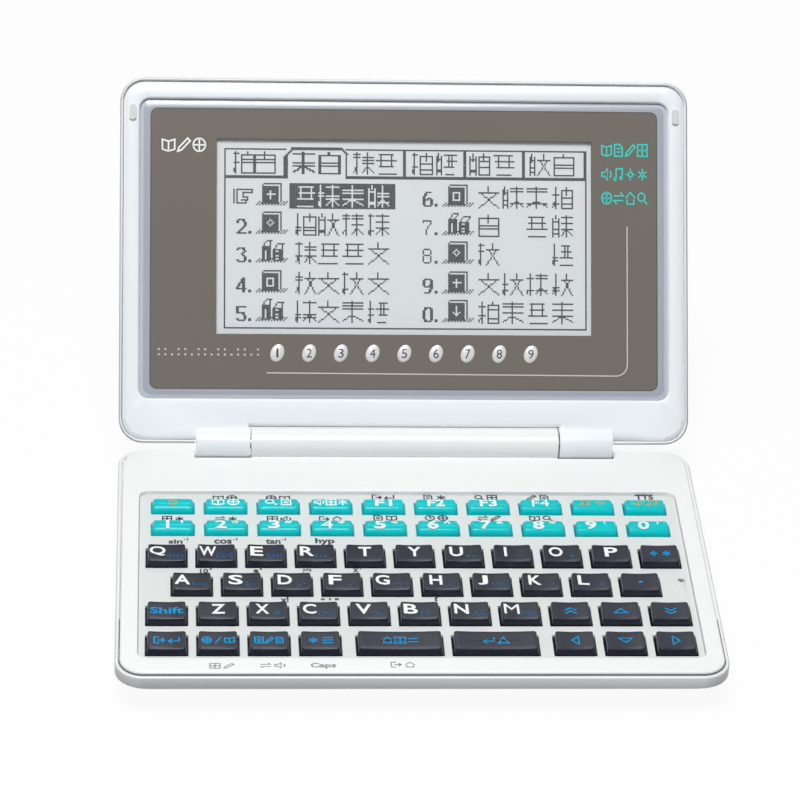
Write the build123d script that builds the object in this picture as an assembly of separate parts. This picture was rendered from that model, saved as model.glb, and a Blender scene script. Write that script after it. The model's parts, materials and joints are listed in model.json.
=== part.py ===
"""Pocket electronic dictionary: a hinged lid with the screen over a base with the keyboard.

Millimetres. +Z is up, +X is to the right of the user and +Y is away from the user.
The origin is the middle of the flat underside of the base.
"""
import os
from math import cos, radians, sin, tan

from build123d import *

# Shared by many pieces
cut_past = 1.0

# Base housing
case_width = 130.0
case_depth = 84.0
case_corner = 6.0
base_thickness = 10.0
case_wall = 1.1
floor_wall = 1.2
rim_width = 0.85
rim_drop = 0.75
rim_break = 0.3
shoulder_height = 3.4
belly_side = 9.0
belly_front = 11.0
belly_rear = 3.5
belly_corner_growth = 4.0
belly_fullness = 1.2
belly_bands = 8
hollow_cut = 4.0
hollow_bend_z = 6.2

# Deck, the upper shell of the base
deck_skin = 1.4
deck_edge_break = 0.3
part_gap = 0.15
lip_depth = 1.0
lip_wall = 0.8
lip_gap = 0.3
hook_count = 3
hook_pitch = 38.0
hook_width = 7.0
hook_reach = 0.6
hook_height = 0.8
hook_gap = 0.1
ledge_width = 0.8
ledge_thickness = 0.6

# Key panel and keys
panel_side_margin = 4.8
panel_rear_margin = 17.2
panel_front_margin = 6.05
panel_corner = 2.0
panel_recess = 0.6
plate_thickness = deck_skin - panel_recess
key_gap = 0.2
key_travel = 0.7
key_seat_gap = 0.05
flange_overhang = 0.5
flange_thickness = 0.6
letter_gap = 2.32
letter_depth = 6.6
letter_rise = 1.7
letter_columns = 11
letter_side_gap = 1.85
front_row_setback = 4.885
rear_row_setback = 5.975
wide_key_trim = 3.56
wide_key_gap = 2.32
small_gap = 2.59
small_depth = 4.1
small_rise = 1.6
small_columns = 10
small_side_gap = 2.895
small_pitch_y = 8.15
small_row_setback = 10.51
key_corner = 0.6
key_taper = 10.0
small_key_taper = 7.0
letter_dish_radius = 24.0
letter_dish_depth = 0.35
small_crown_radius = 8.0

# Inside the base
mat_thickness = 0.75
mat_pad_height = 0.35
pad_inset = 0.8
press_gap = 0.1
board_thickness = 1.0
board_inset = 1.6
chip_height = 1.0
processor_width = 14.0
memory_width = 12.0
memory_depth = 8.0
crystal_width = 3.0
amplifier_width = 6.0
amplifier_depth = 4.0
processor_from_side = 24.0
memory_from_front = 15.0
cell_diameter = 20.0
cell_height = 3.2
cell_spacing = 22.5
cell_gap = 0.1
cell_from_rear = 16.0
contact_width = 5.0
contact_thickness = 0.2
contact_foot = 3.0
contact_reach = 3.0
contact_gap = 0.1
door_half_width = 25.0
door_depth = 29.0
door_wall_height = 4.6
door_gap = 0.15
door_wall_reach = 2.0
tongue_length = 2.2
tongue_thickness = 0.8
bay_wall = 1.0
bay_from_board = 0.2
door_clip_width = 4.0
door_clip_inset = 2.5
door_rib_count = 4
rib_from_rear = 6.0
rib_pitch = 1.6
rib_length = 14.0
rib_width = 0.7
rib_depth = 0.3
speaker_width = 18.0
speaker_corner = 3.0
speaker_frame_height = 1.6
speaker_magnet = 10.0
speaker_height = 3.0
speaker_x = 26.0
speaker_from_front = 27.0
grille_slots = 5
grille_length = 9.0
grille_slot = 1.0
grille_pitch = 2.2
peg_width = 2.2
peg_from_panel = 6.0
foot_height = 0.6
foot_length = 9.0
foot_width = 4.5
foot_corner = 1.0
foot_from_side = 21.0
foot_from_front = 19.0
foot_from_rear = 7.6
reset_from_edge = 2.2
reset_from_rear = 49.6
reset_hole = 1.3
reset_clearance = 3.0
reset_travel = 0.4
reset_stem = 1.8

# Screws
screw_recess = 2.9
screw_boss_width = 4.6
post_width = 3.2
screw_seat_depth = 5.4
post_bottom_depth = 4.2
outer_screw_from_side = 12.0
inner_screw_from_side = 34.0
screw_from_rear = 9.5

# Hinge
barrel_radius = 3.4
axis_from_rear = 0.8
axis_above_deck = 1.8
barrel_half_length = 35.0
knuckle_length = 12.1
knuckle_gap = 0.3
hinge_gap = 0.4
saddle_wall = 0.8
saddle_gap = 0.1
saddle_overlap = 0.2
pin_diameter = 2.5
pin_fit = 0.05
pin_short_of_end = 1.9
clutch_width = 4.4
clutch_length = 12.0
clutch_inset = 0.5
pin_past_clutch = 2.0
lid_rest_angle = 53.13

# Lid
lid_thickness = 6.2
lid_gap = 0.7
lid_bottom = -0.1
lid_corner = 5.5
lid_back_round = 2.9
back_bands = 4
lid_skin = 1.1
lid_wall = 0.9
lid_rim = 0.7
lid_rim_drop = 0.3
lid_frame_skin = 1.5
lid_edge_break = 0.8
lid_mouth_break = 0.5
lens_side_margin = 4.5
lens_low = 10.0
lens_top_margin = 4.8
lens_corner = 2.3
lens_thickness = 1.0
lens_bevel_width = 0.8
lens_bevel_drop = 0.35
lens_recess = 0.7
lens_gap = 0.1
tray_floor = 0.8
tray_wall = 1.2
window_half_width = 44.4
window_from_lens_low = 13.9
window_from_lens_high = 7.2
lcd_margin = 2.6
lcd_glass = 1.3
lcd_ledge = 3.0
guide_thickness = 0.6
lcd_board_thickness = 0.6
lcd_board_notch = 2.0
flex_width = 8.0
flex_thickness = 0.2
flex_from_barrel = 7.0
flex_end_gap = 2.1
bumper_from_side = 2.85
bumper_from_top = 8.0
bumper_length = 3.4
bumper_width = 1.5
bumper_height = 0.55
bumper_corner = 0.4

# Levels and places worked out from the sizes above
deck_z = base_thickness
rear_y = case_depth / 2
front_y = -case_depth / 2
skin_bottom_z = deck_z - deck_skin
saddle_top_z = skin_bottom_z + saddle_overlap
plate_top_z = deck_z - panel_recess
panel_half_width = case_width / 2 - panel_side_margin
panel_rear_y = rear_y - panel_rear_margin
panel_front_y = front_y + panel_front_margin
panel_mid_y = (panel_rear_y + panel_front_y) / 2
panel_depth = panel_rear_y - panel_front_y
letter_row_width = 2 * (panel_half_width - letter_side_gap)
letter_width = (letter_row_width + letter_gap) / letter_columns - letter_gap
letter_span = letter_row_width - letter_width
letter_pitch_x = letter_width + letter_gap
small_row_width = 2 * (panel_half_width - small_side_gap)
small_width = (small_row_width + small_gap) / small_columns - small_gap
small_span = small_row_width - small_width
small_pitch_x = small_width + small_gap
wide_key_width = 2 * letter_pitch_x - wide_key_trim
letter_rows_depth = panel_depth - front_row_setback - rear_row_setback
letter_pitch_y = (letter_rows_depth - small_row_setback - small_pitch_y) / 3
reset_x = panel_half_width - reset_from_edge
flange_top_z = skin_bottom_z - key_seat_gap
flange_bottom_z = flange_top_z - flange_thickness
mat_top_z = flange_bottom_z - key_travel - press_gap
mat_bottom_z = mat_top_z - mat_thickness - mat_pad_height
board_bottom_z = mat_bottom_z - board_thickness
seat_z = deck_z - screw_seat_depth
post_bottom_z = deck_z - post_bottom_depth
knuckle_start = barrel_half_length + knuckle_gap
knuckle_end = knuckle_start + knuckle_length
pin_end = knuckle_end - pin_short_of_end
pocket_radius = barrel_radius + hinge_gap
pocket_end = knuckle_end + knuckle_gap
saddle_end = pocket_end + saddle_wall
axis_y = rear_y - axis_from_rear
axis_z = deck_z + axis_above_deck
face_n = axis_above_deck - lid_gap
back_n = face_n - lid_thickness
lens_top_n = face_n - lens_recess
lens_bottom_n = lens_top_n - lens_thickness
tray_bottom_n = lens_bottom_n - tray_floor
lid_top = axis_y - front_y
lens_half_width = case_width / 2 - lens_side_margin
lens_high = lid_top - lens_top_margin
window_low = lens_low + window_from_lens_low
window_high = lens_high - window_from_lens_high
lens_mid_v = (lens_low + lens_high) / 2
window_mid_v = (window_low + window_high) / 2
lid_length = lid_top - lid_bottom
lid_mid_v = (lid_top + lid_bottom) / 2
notch_v = barrel_radius + hinge_gap
door_front_y = rear_y - door_depth
door_wall_front_y = rear_y - belly_rear - door_wall_reach


def lid_frame():
    """The lid's own plane: X along the hinge, Y up the lid, Z out of its inner face."""
    angle = radians(lid_rest_angle)
    return Plane(
        origin=(0, axis_y, axis_z),
        x_dir=(1, 0, 0),
        z_dir=(0, -sin(angle), cos(angle)),
    )


def in_lid(shape):
    """Puts a shape drawn in the lid's plane into the opened lid."""
    return lid_frame().location * shape


def block(x_low, x_high, y_low, y_high, z_low, z_high):
    size = (x_high - x_low, y_high - y_low, z_high - z_low)
    middle = ((x_low + x_high) / 2, (y_low + y_high) / 2, (z_low + z_high) / 2)
    return Pos(*middle) * Box(*size)


def slab(sketch, z_low, z_high):
    return extrude(Pos(0, 0, z_low) * sketch, z_high - z_low)


def post(x, y, width, z_low, z_high):
    return slab(Pos(x, y) * Rectangle(width, width), z_low, z_high)


def disc(x, y, diameter, z_low, z_high):
    return slab(Pos(x, y) * Circle(diameter / 2), z_low, z_high)


def rod_x(x_low, x_high, radius, y, z):
    """A round bar along X."""
    bar = Rot(0, 90, 0) * Cylinder(radius, x_high - x_low)
    return Pos((x_low + x_high) / 2, y, z) * bar


def both_sides(piece):
    return [piece, mirror(piece, Plane.YZ)]


def case_outline(inset):
    return RectangleRounded(
        case_width - 2 * inset, case_depth - 2 * inset, case_corner - inset
    )


def panel_outline(grow):
    shape = RectangleRounded(
        2 * (panel_half_width + grow), panel_depth + 2 * grow, panel_corner + grow
    )
    return Pos(0, panel_mid_y) * shape


def belly(inset, bottom_z):
    """The boat-shaped body below the shoulder, in narrow bands between rounded outlines."""
    top_z = deck_z - shoulder_height
    power = 2 / belly_fullness
    sections = []
    for band in range(belly_bands + 1):
        turn = radians(90 * band / belly_bands)
        pull = 1 - cos(turn) ** power
        width = case_width - 2 * (inset + belly_side * pull)
        depth = case_depth - 2 * inset - (belly_front + belly_rear) * pull
        shift = (belly_front - belly_rear) * pull / 2
        corner = case_corner - inset + belly_corner_growth * pull
        level = top_z - (top_z - bottom_z) * sin(turn) ** power
        sections.append(Pos(0, shift, level) * RectangleRounded(width, depth, corner))
    return loft(sections, ruled=True)


# Key layout: name of the node, and the centre and width of each of its keys
def key_rows():
    row_y = [panel_front_y + front_row_setback + letter_pitch_y * row for row in range(4)]
    digits_y = row_y[3] + small_row_setback
    functions_y = digits_y + small_pitch_y
    places = {}
    full_row_left = -letter_span / 2
    half_row_left = full_row_left + letter_pitch_x / 2

    def add(node, x, y, width):
        places.setdefault(node, []).append((x, y, width))

    for place, letter in enumerate("qwertyuiop"):
        add("key_" + letter, full_row_left + letter_pitch_x * place, row_y[3], letter_width)
    add("key_backlight", full_row_left + letter_pitch_x * 10, row_y[3], letter_width)
    for place, letter in enumerate("asdfghjkl"):
        add("key_" + letter, half_row_left + letter_pitch_x * place, row_y[2], letter_width)
    add("command_keys", half_row_left + letter_pitch_x * 9, row_y[2], letter_width)
    add("key_shift", full_row_left, row_y[1], letter_width)
    for place, letter in enumerate("zxcvbnm"):
        add("key_" + letter, full_row_left + letter_pitch_x * (place + 1), row_y[1], letter_width)
    add("page_keys", full_row_left + letter_pitch_x * 8, row_y[1], letter_width)
    add("arrow_keys", full_row_left + letter_pitch_x * 9, row_y[1], letter_width)
    add("page_keys", full_row_left + letter_pitch_x * 10, row_y[1], letter_width)
    for place in range(4):
        add("command_keys", full_row_left + letter_pitch_x * place, row_y[0], letter_width)
    wide_middle = full_row_left + letter_pitch_x * 5.5
    wide_step = (wide_key_width + wide_key_gap) / 2
    add("key_space", wide_middle - wide_step, row_y[0], wide_key_width)
    add("key_enter", wide_middle + wide_step, row_y[0], wide_key_width)
    for place in range(8, 11):
        add("arrow_keys", full_row_left + letter_pitch_x * place, row_y[0], letter_width)
    for place in range(small_columns):
        x = small_pitch_x * place - small_span / 2
        add("digit_keys", x, digits_y, small_width)
        add("key_power" if place == 0 else "function_keys", x, functions_y, small_width)
    return places


def is_small(node):
    return node in ("digit_keys", "function_keys", "key_power")


def key_depth(node):
    return small_depth if is_small(node) else letter_depth


def taper_of(node):
    return small_key_taper if is_small(node) else key_taper


def key_spread(taper):
    """How much wider on each side the tapered cap is at its flange than at the plate's top."""
    return (plate_top_z - flange_top_z) * tan(radians(taper))


def key_blank(outline, width, depth, rise, taper):
    """A tapered cap that stands through its opening on a flange."""
    height = plate_top_z + rise - flange_top_z
    cap = extrude(Pos(0, 0, flange_top_z) * outline, height, taper=taper)
    flange = Rectangle(width + 2 * flange_overhang, depth + 2 * flange_overhang)
    return cap + slab(flange, flange_bottom_z, flange_top_z)


def letter_key(width):
    """The dish runs from front to rear and leaves the left and right ends raised."""
    spread = key_spread(key_taper)
    outline = Rectangle(width + 2 * spread, letter_depth + 2 * spread)
    outline = chamfer(outline.vertices(), key_corner)
    dish_radius = letter_dish_radius * (width / letter_width) ** 2
    dish_z = plate_top_z + letter_rise + dish_radius - letter_dish_depth
    dish = Pos(0, 0, dish_z) * Rot(90, 0, 0) * Cylinder(dish_radius, 2 * letter_depth)
    return key_blank(outline, width, letter_depth, letter_rise, key_taper) - dish


def small_key(width):
    """A pillow top, round across its short side."""
    spread = key_spread(small_key_taper)
    outline = Rectangle(width + 2 * spread, small_depth + 2 * spread)
    crown_z = plate_top_z + small_rise - small_crown_radius
    crown = Pos(0, 0, crown_z) * Rot(0, 90, 0) * Cylinder(small_crown_radius, 2 * width)
    return key_blank(outline, width, small_depth, small_rise, small_key_taper) & crown


def make_keys():
    shapes = {}
    for node, places in key_rows().items():
        solids = []
        for x, y, width in places:
            cap = small_key(width) if is_small(node) else letter_key(width)
            solids.append(Pos(x, y, 0) * cap)
        shapes[node] = solids
    return shapes


def key_places():
    for node, places in key_rows().items():
        for x, y, width in places:
            yield x, y, width, key_depth(node), key_spread(taper_of(node)) + key_gap


def screw_places():
    outer = case_width / 2 - outer_screw_from_side
    inner = case_width / 2 - inner_screw_from_side
    return [(x, rear_y - screw_from_rear) for x in (-outer, -inner, inner, outer)]


def cell_places():
    y = rear_y - cell_from_rear
    return [(-cell_spacing / 2, y), (cell_spacing / 2, y)]


def foot_places():
    rear = rear_y - foot_from_rear
    front = front_y + foot_from_front
    across = case_width / 2 - foot_from_side
    return [(x, y) for x in (-across, across) for y in (front, rear)]


def peg_places():
    """Where the floor props the board: near its four corners."""
    across = panel_half_width - peg_from_panel
    rows = (panel_front_y + peg_from_panel, panel_rear_y - peg_from_panel)
    return [(x, y) for x in (-across, across) for y in rows]


def clip_places():
    across = door_half_width - door_clip_inset
    return (-across, across)


def door_region(gap):
    """The part of the floor and rear wall that comes away with the battery door."""
    half = door_half_width + gap
    past_y = rear_y + cut_past
    floor_top_z = floor_wall + tongue_thickness
    floor_part = block(-half, half, door_front_y - gap, past_y, -cut_past, floor_top_z)
    wall_top_z = door_wall_height + gap
    wall_part = block(-half, half, door_wall_front_y, past_y, -cut_past, wall_top_z)
    return floor_part + wall_part


def case_shell():
    """Outside of the lower case less its hollow and the pocket that seats the deck."""
    top_z = deck_z - rim_drop
    rim = slab(case_outline(0), deck_z - shoulder_height, top_z)
    rim = chamfer(rim.edges().group_by(Axis.Z)[-1], rim_break)
    outside = rim + belly(0, 0)
    pocket = slab(case_outline(rim_width), skin_bottom_z, deck_z + cut_past)
    return outside - case_hollow() - pocket


def hollow_outline(pull):
    """The inside of the walls where the belly has drawn in by this share of its full pull."""
    inset = rim_width + case_wall
    width = case_width - 2 * (inset + belly_side * pull)
    depth = case_depth - 2 * inset - (belly_front + belly_rear) * pull
    cut = hollow_cut + belly_corner_growth * pull
    outline = chamfer(Rectangle(width, depth).vertices(), cut)
    return Pos(0, (belly_front - belly_rear) * pull / 2) * outline


def case_hollow():
    """Straight walls above and sloping walls below, with cut corners, down to the floor."""
    depth_down = deck_z - shoulder_height
    share = (depth_down - floor_wall) / depth_down
    floor_pull = 1 - (1 - share**belly_fullness) ** (1 / belly_fullness)
    low = Pos(0, 0, floor_wall) * hollow_outline(floor_pull)
    bend = Pos(0, 0, hollow_bend_z) * hollow_outline(0)
    upper = slab(hollow_outline(0), hollow_bend_z, skin_bottom_z)
    return upper + loft([low, bend], ruled=True)


def lower_case():
    shell = case_shell()
    hollow_limit = belly(rim_width, floor_wall / 2)
    for x, y in screw_places():
        shell += post(x, y, screw_boss_width, 0, post_bottom_z) & hollow_limit
    for x, y in peg_places():
        shell += post(x, y, peg_width, floor_wall, board_bottom_z)
    shell += bay_walls()
    for x, y in screw_places():
        shell -= disc(x, y, screw_recess, 0, seat_z)
    for slot in grille():
        shell -= slot
    for x in clip_places():
        shell -= tongue(x, door_gap)
    for slot in front_hooks(hook_gap):
        shell -= slot
    shell -= door_region(door_gap)
    shell -= saddle_cut()
    return shell


def front_hooks(gap):
    """Teeth on the deck's lip that snap under the front wall of the lower case."""
    middle_z = skin_bottom_z - lip_depth / 2
    wall_y = front_y + rim_width + case_wall
    hooks = []
    for place in range(hook_count):
        x = hook_pitch * (place - (hook_count - 1) / 2)
        hooks.append(
            block(
                x - hook_width / 2 - gap,
                x + hook_width / 2 + gap,
                wall_y - hook_reach - gap,
                wall_y + lip_gap + lip_wall,
                middle_z - hook_height / 2 - gap,
                middle_z + hook_height / 2 + gap,
            )
        )
    return hooks


def bay_walls():
    """The walls that stand on the floor round the battery door."""
    half = door_half_width + door_gap
    low_y = door_front_y - door_gap
    walls = block(
        -half - bay_wall,
        half + bay_wall,
        low_y - bay_wall,
        rear_y - belly_rear,
        floor_wall,
        board_bottom_z - bay_from_board,
    )
    return walls - block(-half, half, low_y, rear_y, 0, deck_z)


def speaker_y():
    return front_y + speaker_from_front


def grille():
    """A row of sound slots under the speaker."""
    slots = []
    for place in range(grille_slots):
        y = speaker_y() + grille_pitch * (place - (grille_slots - 1) / 2)
        slot = Pos(speaker_x, y) * Rectangle(grille_length, grille_slot)
        slots.append(slab(slot, 0, floor_wall))
    return slots


def saddle_cut():
    """The trough in the rear wall that clears the deck's hinge saddle."""
    radius = pocket_radius + saddle_wall + saddle_gap
    end = saddle_end + saddle_gap
    return rod_x(-end, end, radius, axis_y, axis_z)


def tongue(x, gap):
    """A clip at the front corner of the door that reaches in over the floor."""
    return block(
        x - door_clip_width / 2 - gap,
        x + door_clip_width / 2 + gap,
        door_front_y - tongue_length - gap,
        door_front_y + tongue_length / 2,
        floor_wall,
        floor_wall + tongue_thickness + gap,
    )


def battery_door():
    """Cut from the case's own shell, so that it lies flush; its tongues hook the floor."""
    door = case_shell() & door_region(0)
    door -= block(
        -case_width, case_width, door_front_y - cut_past, door_wall_front_y, floor_wall, deck_z
    )
    for x in clip_places():
        door += tongue(x, 0)
    for rib in range(door_rib_count):
        y = rear_y - belly_rear - rib_from_rear - rib_pitch * rib
        door -= block(-rib_length / 2, rib_length / 2, y, y + rib_width, 0, rib_depth)
    return door


def lip_outline(inset):
    outline = Rectangle(case_width - 2 * inset, case_depth - 2 * inset)
    return chamfer(outline.vertices(), hollow_cut)


def panel_rectangle(grow):
    shape = Rectangle(2 * (panel_half_width + grow), panel_depth + 2 * grow)
    return Pos(0, panel_mid_y) * shape


def upper_case():
    """The deck with its panel opening, the hinge barrel and the saddles for the knuckles."""
    deck = slab(case_outline(rim_width + part_gap), skin_bottom_z, deck_z)
    deck = chamfer(deck.edges().group_by(Axis.Z)[-1], deck_edge_break)
    lip_inset = rim_width + case_wall + lip_gap
    lip = slab(lip_outline(lip_inset), skin_bottom_z - lip_depth, skin_bottom_z)
    lip -= slab(lip_outline(lip_inset + lip_wall), skin_bottom_z - lip_depth, skin_bottom_z)
    deck += lip
    for hook in front_hooks(0):
        deck += hook
    deck += slab(panel_rectangle(ledge_width), skin_bottom_z - ledge_thickness, skin_bottom_z)
    for x, y in screw_places():
        deck += post(x, y, post_width, post_bottom_z, skin_bottom_z)
    deck -= slab(panel_outline(0), skin_bottom_z, deck_z + cut_past)
    deck -= slab(panel_rectangle(-ledge_width), skin_bottom_z - ledge_thickness, skin_bottom_z)
    saddle = rod_x(-saddle_end, saddle_end, pocket_radius + saddle_wall, axis_y, axis_z)
    deck += saddle & block(-case_width, case_width, 0, rear_y - part_gap, 0, saddle_top_z)
    pocket = rod_x(barrel_half_length, pocket_end, pocket_radius, axis_y, axis_z)
    for cut in both_sides(pocket):
        deck -= cut
    deck += rod_x(-barrel_half_length, barrel_half_length, barrel_radius, axis_y, axis_z)
    for bore in clutch_bores():
        deck -= bore
    return deck


def keypad_plate():
    plate = slab(panel_outline(-part_gap), skin_bottom_z, plate_top_z)
    for x, y, width, depth, clearance in key_places():
        hole = Rectangle(width + 2 * clearance, depth + 2 * clearance)
        plate -= slab(Pos(x, y) * hole, skin_bottom_z, plate_top_z)
    reset_y = rear_y - reset_from_rear
    return plate - disc(reset_x, reset_y, reset_hole, skin_bottom_z, plate_top_z)


def key_mat():
    """A rubber sheet with a raised strip under each row of keys."""
    sheet_top_z = mat_bottom_z + mat_thickness
    mat = slab(panel_rectangle(-ledge_width - part_gap), mat_bottom_z, sheet_top_z)
    rows = {}
    for x, y, width, depth, clearance in key_places():
        rows.setdefault((y, depth), []).extend([x - width / 2, x + width / 2])
    for (y, depth), ends in rows.items():
        left = min(ends)
        right = max(ends)
        strip = block(
            left + pad_inset,
            right - pad_inset,
            y - depth / 2 + pad_inset,
            y + depth / 2 - pad_inset,
            sheet_top_z,
            mat_top_z,
        )
        mat += strip
    reset_y = rear_y - reset_from_rear
    return mat - post(reset_x, reset_y, reset_clearance, mat_bottom_z, mat_top_z)


def main_board():
    return slab(panel_rectangle(-board_inset), board_bottom_z, mat_bottom_z)


def board_chips():
    """The processor, the memory, the amplifier and the clock crystal, under the board."""
    left = -panel_half_width + processor_from_side
    front = panel_front_y + memory_from_front
    places = {
        (left, panel_mid_y): (processor_width, processor_width),
        (left, front): (memory_width, memory_depth),
        (left + processor_width, front): (crystal_width, memory_depth),
        (0, front): (amplifier_width, amplifier_depth),
    }
    bottom_z = board_bottom_z - chip_height
    chips = []
    for (x, y), (width, depth) in places.items():
        chips.append(slab(Pos(x, y) * Rectangle(width, depth), bottom_z, board_bottom_z))
    return chips


def coin_cells():
    low = floor_wall + cell_gap
    return [disc(x, y, cell_diameter, low, low + cell_height) for x, y in cell_places()]


def cell_contacts():
    """A sprung strip from the board down to the top of each cell."""
    strips = []
    half = contact_thickness / 2
    cell_top_z = floor_wall + cell_gap + cell_height
    for x, y in cell_places():
        path = Polyline(
            (-contact_reach - contact_foot, board_bottom_z - half),
            (-contact_reach, board_bottom_z - half),
            (0, cell_top_z + half + contact_gap),
            (contact_reach, board_bottom_z - half - contact_gap),
        )
        sketch = trace(path, contact_thickness)
        strip = extrude(Plane.XZ * sketch, contact_width / 2, both=True)
        strips.append(Pos(x, y, 0) * strip)
    return strips


def rubber_feet():
    """Stick-on pads on the flat of the underside."""
    outline = chamfer(Rectangle(foot_length, foot_width).vertices(), foot_corner)
    return [slab(Pos(x, y) * outline, -foot_height, 0) for x, y in foot_places()]


def speaker():
    y = speaker_y()
    outline = chamfer(Rectangle(speaker_width, speaker_width).vertices(), speaker_corner)
    frame = slab(Pos(speaker_x, y) * outline, floor_wall, floor_wall + speaker_frame_height)
    return frame + disc(speaker_x, y, speaker_magnet, floor_wall, floor_wall + speaker_height)


def reset_button():
    """A plunger under the pinhole, on its own small switch."""
    y = rear_y - reset_from_rear
    return post(reset_x, y, reset_stem, mat_bottom_z + reset_travel, flange_bottom_z)


def clutch_bores():
    """Square sockets in the ends of the barrel, with a round bore at the bottom of each."""
    inner = barrel_half_length - clutch_inset - clutch_length
    half = clutch_width / 2
    socket = block(inner, barrel_half_length, axis_y - half, axis_y + half, axis_z - half, axis_z + half)
    socket += rod_x(inner - pin_past_clutch, inner, pin_diameter / 2 + pin_fit, axis_y, axis_z)
    return both_sides(socket)


def hinge_clutches():
    """Square friction cartridges that can't turn in the barrel, round the hinge pins."""
    outer = barrel_half_length - clutch_inset
    half = clutch_width / 2
    sleeve = block(outer - clutch_length, outer, axis_y - half, axis_y + half, axis_z - half, axis_z + half)
    sleeve -= rod_x(0, case_width, pin_diameter / 2 + pin_fit, axis_y, axis_z)
    return both_sides(sleeve)


# The lid's pieces are drawn in the lid's own plane
def lid_outline(inset, notch_half_width, notch_height):
    outline = RectangleRounded(
        case_width - 2 * inset, lid_length - 2 * inset, lid_corner - inset
    )
    outline = Pos(0, lid_mid_v) * outline
    if notch_half_width > 0:
        outline -= Rectangle(2 * notch_half_width, 2 * notch_height)
    return outline


def rounded_back():
    """The round between the lid's sides and its back, in narrow bands."""
    sections = []
    for band in range(back_bands + 1):
        turn = radians(90 * band / back_bands)
        level = back_n + lid_back_round * (1 - sin(turn))
        sections.append(Pos(0, 0, level) * lid_outline(lid_back_round * (1 - cos(turn)), 0, 0))
    return loft(sections, ruled=True)


def lens_outline(grow):
    height = lens_high - lens_low + 2 * grow
    shape = RectangleRounded(2 * (lens_half_width + grow), height, lens_corner + grow)
    return Pos(0, lens_mid_v) * shape


def window_outline():
    return Pos(0, window_mid_v) * Rectangle(2 * window_half_width, window_high - window_low)


def lid_back_cover():
    """A shallow tray with a rounded back, cut away where the knuckles and barrel turn."""
    rim_n = face_n - lid_rim_drop
    seat_n = face_n - lid_frame_skin
    past_n = rim_n + cut_past
    cover = slab(lid_outline(0, 0, 0), back_n + lid_back_round, rim_n) + rounded_back()
    cover -= block(-pocket_end, pocket_end, -notch_v, notch_v, back_n - cut_past, past_n)
    inner = lid_outline(lid_rim + lid_wall, pocket_end + lid_wall, notch_v + lid_wall)
    cover -= slab(inner, back_n + lid_skin, past_n)
    cover -= slab(lid_outline(lid_rim, pocket_end, notch_v), seat_n, past_n)
    return in_lid(cover)


def lid_front_frame():
    """The face of the lid with the screen's seat, and the two hinge knuckles."""
    seat_n = face_n - lid_frame_skin
    outline = lid_outline(lid_rim + part_gap, knuckle_start, notch_v)
    frame = slab(outline, seat_n, face_n)
    frame = chamfer(frame.edges().group_by(Axis.Z)[-1], lid_edge_break)
    tray = Rectangle(2 * (lens_half_width + tray_wall), lens_high - lens_low + 2 * tray_wall)
    frame += slab(Pos(0, lens_mid_v) * tray, tray_bottom_n, seat_n)
    frame -= slab(lens_outline(0), lens_bottom_n, face_n + cut_past)
    mouth_low = Pos(0, 0, face_n - lid_mouth_break) * lens_outline(0)
    mouth_high = Pos(0, 0, face_n) * lens_outline(lid_mouth_break)
    frame -= loft([mouth_low, mouth_high], ruled=True)
    frame -= slab(window_outline(), tray_bottom_n - cut_past, face_n)
    knuckle = rod_x(knuckle_start, knuckle_end, barrel_radius, 0, 0)
    knuckle += block(knuckle_start, knuckle_end, 0, notch_v - part_gap, -barrel_radius, seat_n)
    bore = rod_x(knuckle_start - cut_past, pin_end, pin_diameter / 2, 0, 0)
    for piece in both_sides(knuckle):
        frame += piece
    for hole in both_sides(bore):
        frame -= hole
    return in_lid(frame)


def screen_lens():
    """A clear plate with a wide shallow bevel round its top."""
    bevel_n = lens_top_n - lens_bevel_drop
    edge = Pos(0, 0, bevel_n) * lens_outline(-lens_gap)
    top = Pos(0, 0, lens_top_n) * lens_outline(-lens_gap - lens_bevel_width)
    return in_lid(slab(lens_outline(-lens_gap), lens_bottom_n, bevel_n) + loft([edge, top], ruled=True))


def lcd_panel():
    """Two glass plates; the rear one is longer below and carries the contacts."""
    half = window_half_width + lcd_margin
    low = window_low - lcd_margin
    high = window_high + lcd_margin
    middle_n = tray_bottom_n - lcd_glass / 2
    glass = block(-half, half, low, high, middle_n, tray_bottom_n)
    glass += block(-half, half, low - lcd_ledge, high, tray_bottom_n - lcd_glass, middle_n)
    return in_lid(glass)


def backlight_guide():
    half = window_half_width + lcd_margin
    low = window_low - lcd_margin
    high = window_high + lcd_margin
    top_n = tray_bottom_n - lcd_glass
    return in_lid(block(-half, half, low, high, top_n - guide_thickness, top_n))


def lcd_board():
    half = window_half_width + lcd_margin
    top_n = tray_bottom_n - lcd_glass - guide_thickness
    low = window_low - lcd_margin - lcd_ledge
    high = window_high + lcd_margin
    board = block(-half, half, low, high, top_n - lcd_board_thickness, top_n)
    for x in (-half, half):
        board -= disc(x, high, 2 * lcd_board_notch, top_n - lcd_board_thickness, top_n)
    return in_lid(board)


def display_flex():
    """The ribbon from the screen's board down to the left knuckle."""
    top_n = tray_bottom_n - lcd_glass
    high = window_low - lcd_margin - lcd_ledge
    low = notch_v + flex_end_gap
    left = -barrel_half_length - flex_from_barrel - flex_width / 2
    return in_lid(block(left, left + flex_width, low, high, top_n - flex_thickness, top_n))


def lid_bumpers():
    pads = []
    across = case_width / 2 - bumper_from_side
    for x in (-across, across):
        sketch = Rectangle(bumper_width, bumper_length)
        sketch = chamfer(sketch.vertices(), bumper_corner)
        pad = slab(Pos(x, lid_top - bumper_from_top) * sketch, face_n, face_n + bumper_height)
        pads.append(in_lid(pad))
    return pads


def hinge_pins():
    inner = barrel_half_length - clutch_inset - clutch_length - pin_past_clutch / 2
    pin = rod_x(inner, pin_end, pin_diameter / 2, 0, 0)
    return [in_lid(side) for side in both_sides(pin)]


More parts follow.
